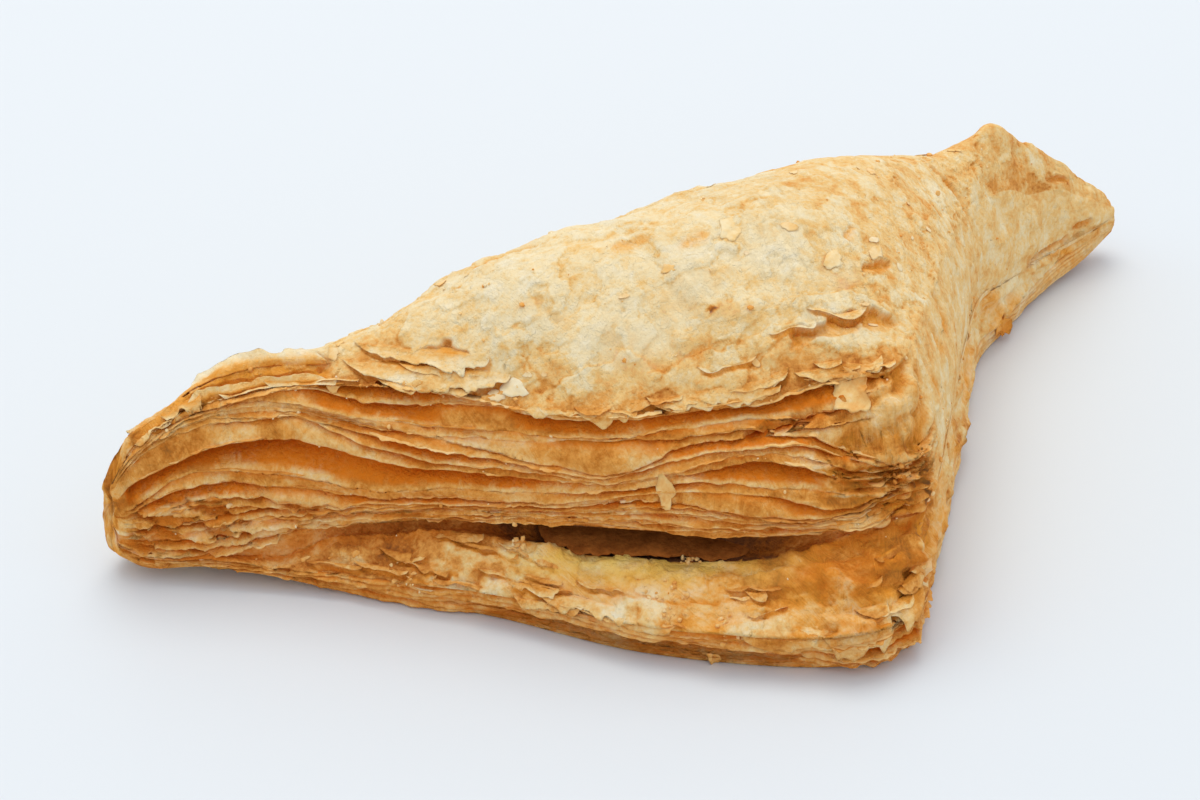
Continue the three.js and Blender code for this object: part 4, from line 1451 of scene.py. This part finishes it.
def buildBakedTone():  # baked dough: browner where Toast says, with orange, butter and flour over it; Toast and Crease also carry painted shade
    floats = ["Toast", "Inner", "Crease", "Powder", "Butter", "Patchiness"]
    inputs = [(label, "NodeSocketFloat") for label in floats]
    inputs += [("Place", "NodeSocketVector"), ("Lay", "NodeSocketVector")]
    outputs = [("Colour", "NodeSocketColor")]
    outputs += [(label, "NodeSocketFloat") for label in ("Roughness", "Height")]
    group, start, end = newGroup("baked tone", inputs, outputs)
    given = start.outputs
    place = given["Place"]

    def plus(a, b, clamp=False):
        return maths(group, "ADD", a, b, clamp)

    def less(a, b):
        return maths(group, "SUBTRACT", a, b)

    def times(a, b, clamp=False):
        return maths(group, "MULTIPLY", a, b, clamp)

    broad = noise(group, place, toneScales["broad"], 3)
    patch = noise(group, place, toneScales["patch"], 5, 0.62, 0.4)
    fine = noise(group, place, toneScales["fine"], 4, 0.6)
    lines = noise(group, scaled(group, given["Lay"], (0.2, 1.4, 0)), 1.0, 3, 0.6)
    plates = steps(group, noise(group, place, toneScales["plates"], 5, 0.6, 0.3), 0.03)
    chips = steps(group, noise(group, place, toneScales["chips"], 4, 0.6), 0.06)
    change = plus(plus(times(broad, 0.35), times(patch, 0.65)), times(fine, 0.4))
    change = less(less(change, times(plates, 0.05)), times(chips, 0.05))
    change = times(plus(change, 0.04), given["Patchiness"])
    grooved = times(lines, plus(times(given["Inner"], 0.9), 0.08))
    toast = plus(plus(given["Toast"], change), grooved, True)
    ramp = group.nodes.new("ShaderNodeValToRGB")
    while len(ramp.color_ramp.elements) < len(bakedColours):
        ramp.color_ramp.elements.new(0.5)
    for element, (position, colour) in zip(ramp.color_ramp.elements, bakedColours):
        element.position = position
        element.color = (*colour, 1)
    group.links.new(toast, ramp.inputs[0])
    colour = ramp.outputs[0]
    for label, over, patchy, strength in overColours:
        pattern = fine if label == "Crease" else patch
        share = times(given[label], plus(times(pattern, patchy), strength), True)
        colour = blended(group, share, colour, over)
    flour = plus(times(fine, 2.2), times(patch, 1.6))
    flour = plus(times(given["Powder"], 1.3), less(flour, 0.35))
    flour = times(times(flour, 1.0, True), given["Powder"], True)
    colour = blended(group, flour, colour, flourColour)
    group.links.new(colour, end.inputs["Colour"])
    group.links.new(plus(times(fine, 0.5), 0.62, True), end.inputs["Roughness"])
    grain = noise(group, place, toneScales["grain"], 2)
    height = times(fine, 0.8)
    for pattern, share in ((patch, 0.7), (grain, 0.35), (plates, 0.35), (chips, 0.22), (lines, 0.35)):
        height = plus(height, times(pattern, share))
    group.links.new(height, end.inputs["Height"])
    return group


bakedTone = buildBakedTone()


def newMaterial(name):
    material = bpy.data.materials.new(name)
    material.use_nodes = True
    return material, material.node_tree, material.node_tree.nodes["Principled BSDF"]


def roughened(tree, shader, height, values):  # relief that is finer than the mesh
    node = tree.nodes.new("ShaderNodeBump")
    node.inputs["Strength"].default_value = values["bump"]
    node.inputs["Distance"].default_value = values["bumpHeight"] * mm
    tree.links.new(height, node.inputs["Height"])
    tree.links.new(node.outputs["Normal"], shader.inputs["Normal"])


def bakedMaterial(name, values):
    material, tree, shader = newMaterial(name)
    tone = tree.nodes.new("ShaderNodeGroup")
    tone.node_tree = bakedTone
    for label in ("toast", "inner", "crease", "powder", "butter", "lay"):
        attribute = tree.nodes.new("ShaderNodeAttribute")
        attribute.attribute_name = label
        source = attribute.outputs["Vector" if label == "lay" else "Fac"]
        tree.links.new(source, tone.inputs[label.capitalize()])
    tone.inputs["Patchiness"].default_value = values["patchiness"]
    coordinates = tree.nodes.new("ShaderNodeTexCoord")
    tree.links.new(coordinates.outputs["Object"], tone.inputs["Place"])
    tree.links.new(tone.outputs["Colour"], shader.inputs["Base Color"])
    tree.links.new(tone.outputs["Roughness"], shader.inputs["Roughness"])
    roughened(tree, shader, tone.outputs["Height"], values)
    shader.inputs["Specular IOR Level"].default_value = values["shine"]
    return material


crustLook = {"patchiness": 1.1, "bump": 1.0, "bumpHeight": 0.35, "shine": 0.06}
sheetLook = {"patchiness": 0.7, "bump": 0.5, "bumpHeight": 0.2, "shine": 0.06}
bakedCrust = bakedMaterial("baked crust", crustLook)
looseSheet = bakedMaterial("loose sheet", sheetLook)
crust.data.materials.append(bakedCrust)
tornEdgesPiece.data.materials.append(looseSheet)
looseFlakesPiece.data.materials.append(looseSheet)
hangingSheetsPiece.data.materials.append(bakedCrust)
crumbsPiece.data.materials.append(looseSheet)

fillingLook = {
    "dark": (0.15, 0.034, 0.006),
    "light": (0.54, 0.17, 0.032),
    "patch": 450,  # noise scales for each metre
    "grain": 1400,
    "bump": 0.8,
    "bumpHeight": 0.3,
    "roughness": 0.6,
    "shine": 0.0,
}


def fillingMaterial(values):
    material, tree, shader = newMaterial("sweet filling")
    place = tree.nodes.new("ShaderNodeTexCoord").outputs["Object"]
    patch = maths(tree, "MULTIPLY", noise(tree, place, values["patch"], 5, 0.65), 1.6)
    colour = blended(tree, maths(tree, "ADD", patch, 0.5, True), values["dark"], values["light"])
    tree.links.new(colour, shader.inputs["Base Color"])
    roughened(tree, shader, noise(tree, place, values["grain"], 4), values)
    shader.inputs["Roughness"].default_value = values["roughness"]
    shader.inputs["Specular IOR Level"].default_value = values["shine"]
    return material


sweetFilling.data.materials.append(fillingMaterial(fillingLook))

print("camera, floor and light")
# Angles in degrees, distance and target in metres.
view = {
    "azimuth": -31.3887,
    "elevation": 31.0,
    "distance": 0.49907,
    "target": (-0.00603, 0.03648, 0.0),
    "lens": 102.083,
    "clipStart": 0.01,
}
studio = {
    "floorHalf": 4,  # half the floor's side, in metres
    "floor": (0.715, 0.742, 0.765),
    "sky": (0.93, 0.985, 1.05),
    "skyStrength": 0.9,
    "keyPlace": (0.2, 0.6, 1.4),
    "keySize": 1.1,
    "keyPower": 9.5,
    "keyColour": (1, 0.95, 0.87),
}

camera = placed("camera", bpy.data.cameras.new("camera"))
camera.data.lens = view["lens"]
camera.data.clip_start = view["clipStart"]
azimuth, elevation = math.radians(view["azimuth"]), math.radians(view["elevation"])
level = math.cos(elevation)
back = Vector((math.sin(azimuth) * level, -math.cos(azimuth) * level, math.sin(elevation)))
camera.location = Vector(view["target"]) + back * view["distance"]
camera.rotation_euler = (-back).to_track_quat("-Z", "Y").to_euler()
bpy.context.scene.camera = camera

half = studio["floorHalf"]
floorCorners = [(-half, -half, 0), (half, -half, 0), (half, half, 0), (-half, half, 0)]
floorMesh = bpy.data.meshes.new("floor")
floorMesh.from_pydata(floorCorners, [], [(0, 1, 2, 3)])
floor = placed("floor", floorMesh)
floorMaterial, _, floorShader = newMaterial("floor")
floorShader.inputs["Base Color"].default_value = (*studio["floor"], 1)
floorMesh.materials.append(floorMaterial)

world = bpy.data.worlds.new("world")
bpy.context.scene.world = world
world.use_nodes = True
world.node_tree.nodes["Background"].inputs[0].default_value = (*studio["sky"], 1)
world.node_tree.nodes["Background"].inputs[1].default_value = studio["skyStrength"]


def softLight(name, place, size, power, colour):
    data = bpy.data.lights.new(name, "AREA")
    data.size = size
    data.energy = power
    data.color = colour
    light = placed(name, data)
    light.location = place
    light.rotation_euler = (-Vector(place)).to_track_quat("-Z", "Y").to_euler()


softLight("key", studio["keyPlace"], studio["keySize"], studio["keyPower"], studio["keyColour"])
bpy.context.scene.view_settings.view_transform = "Standard"
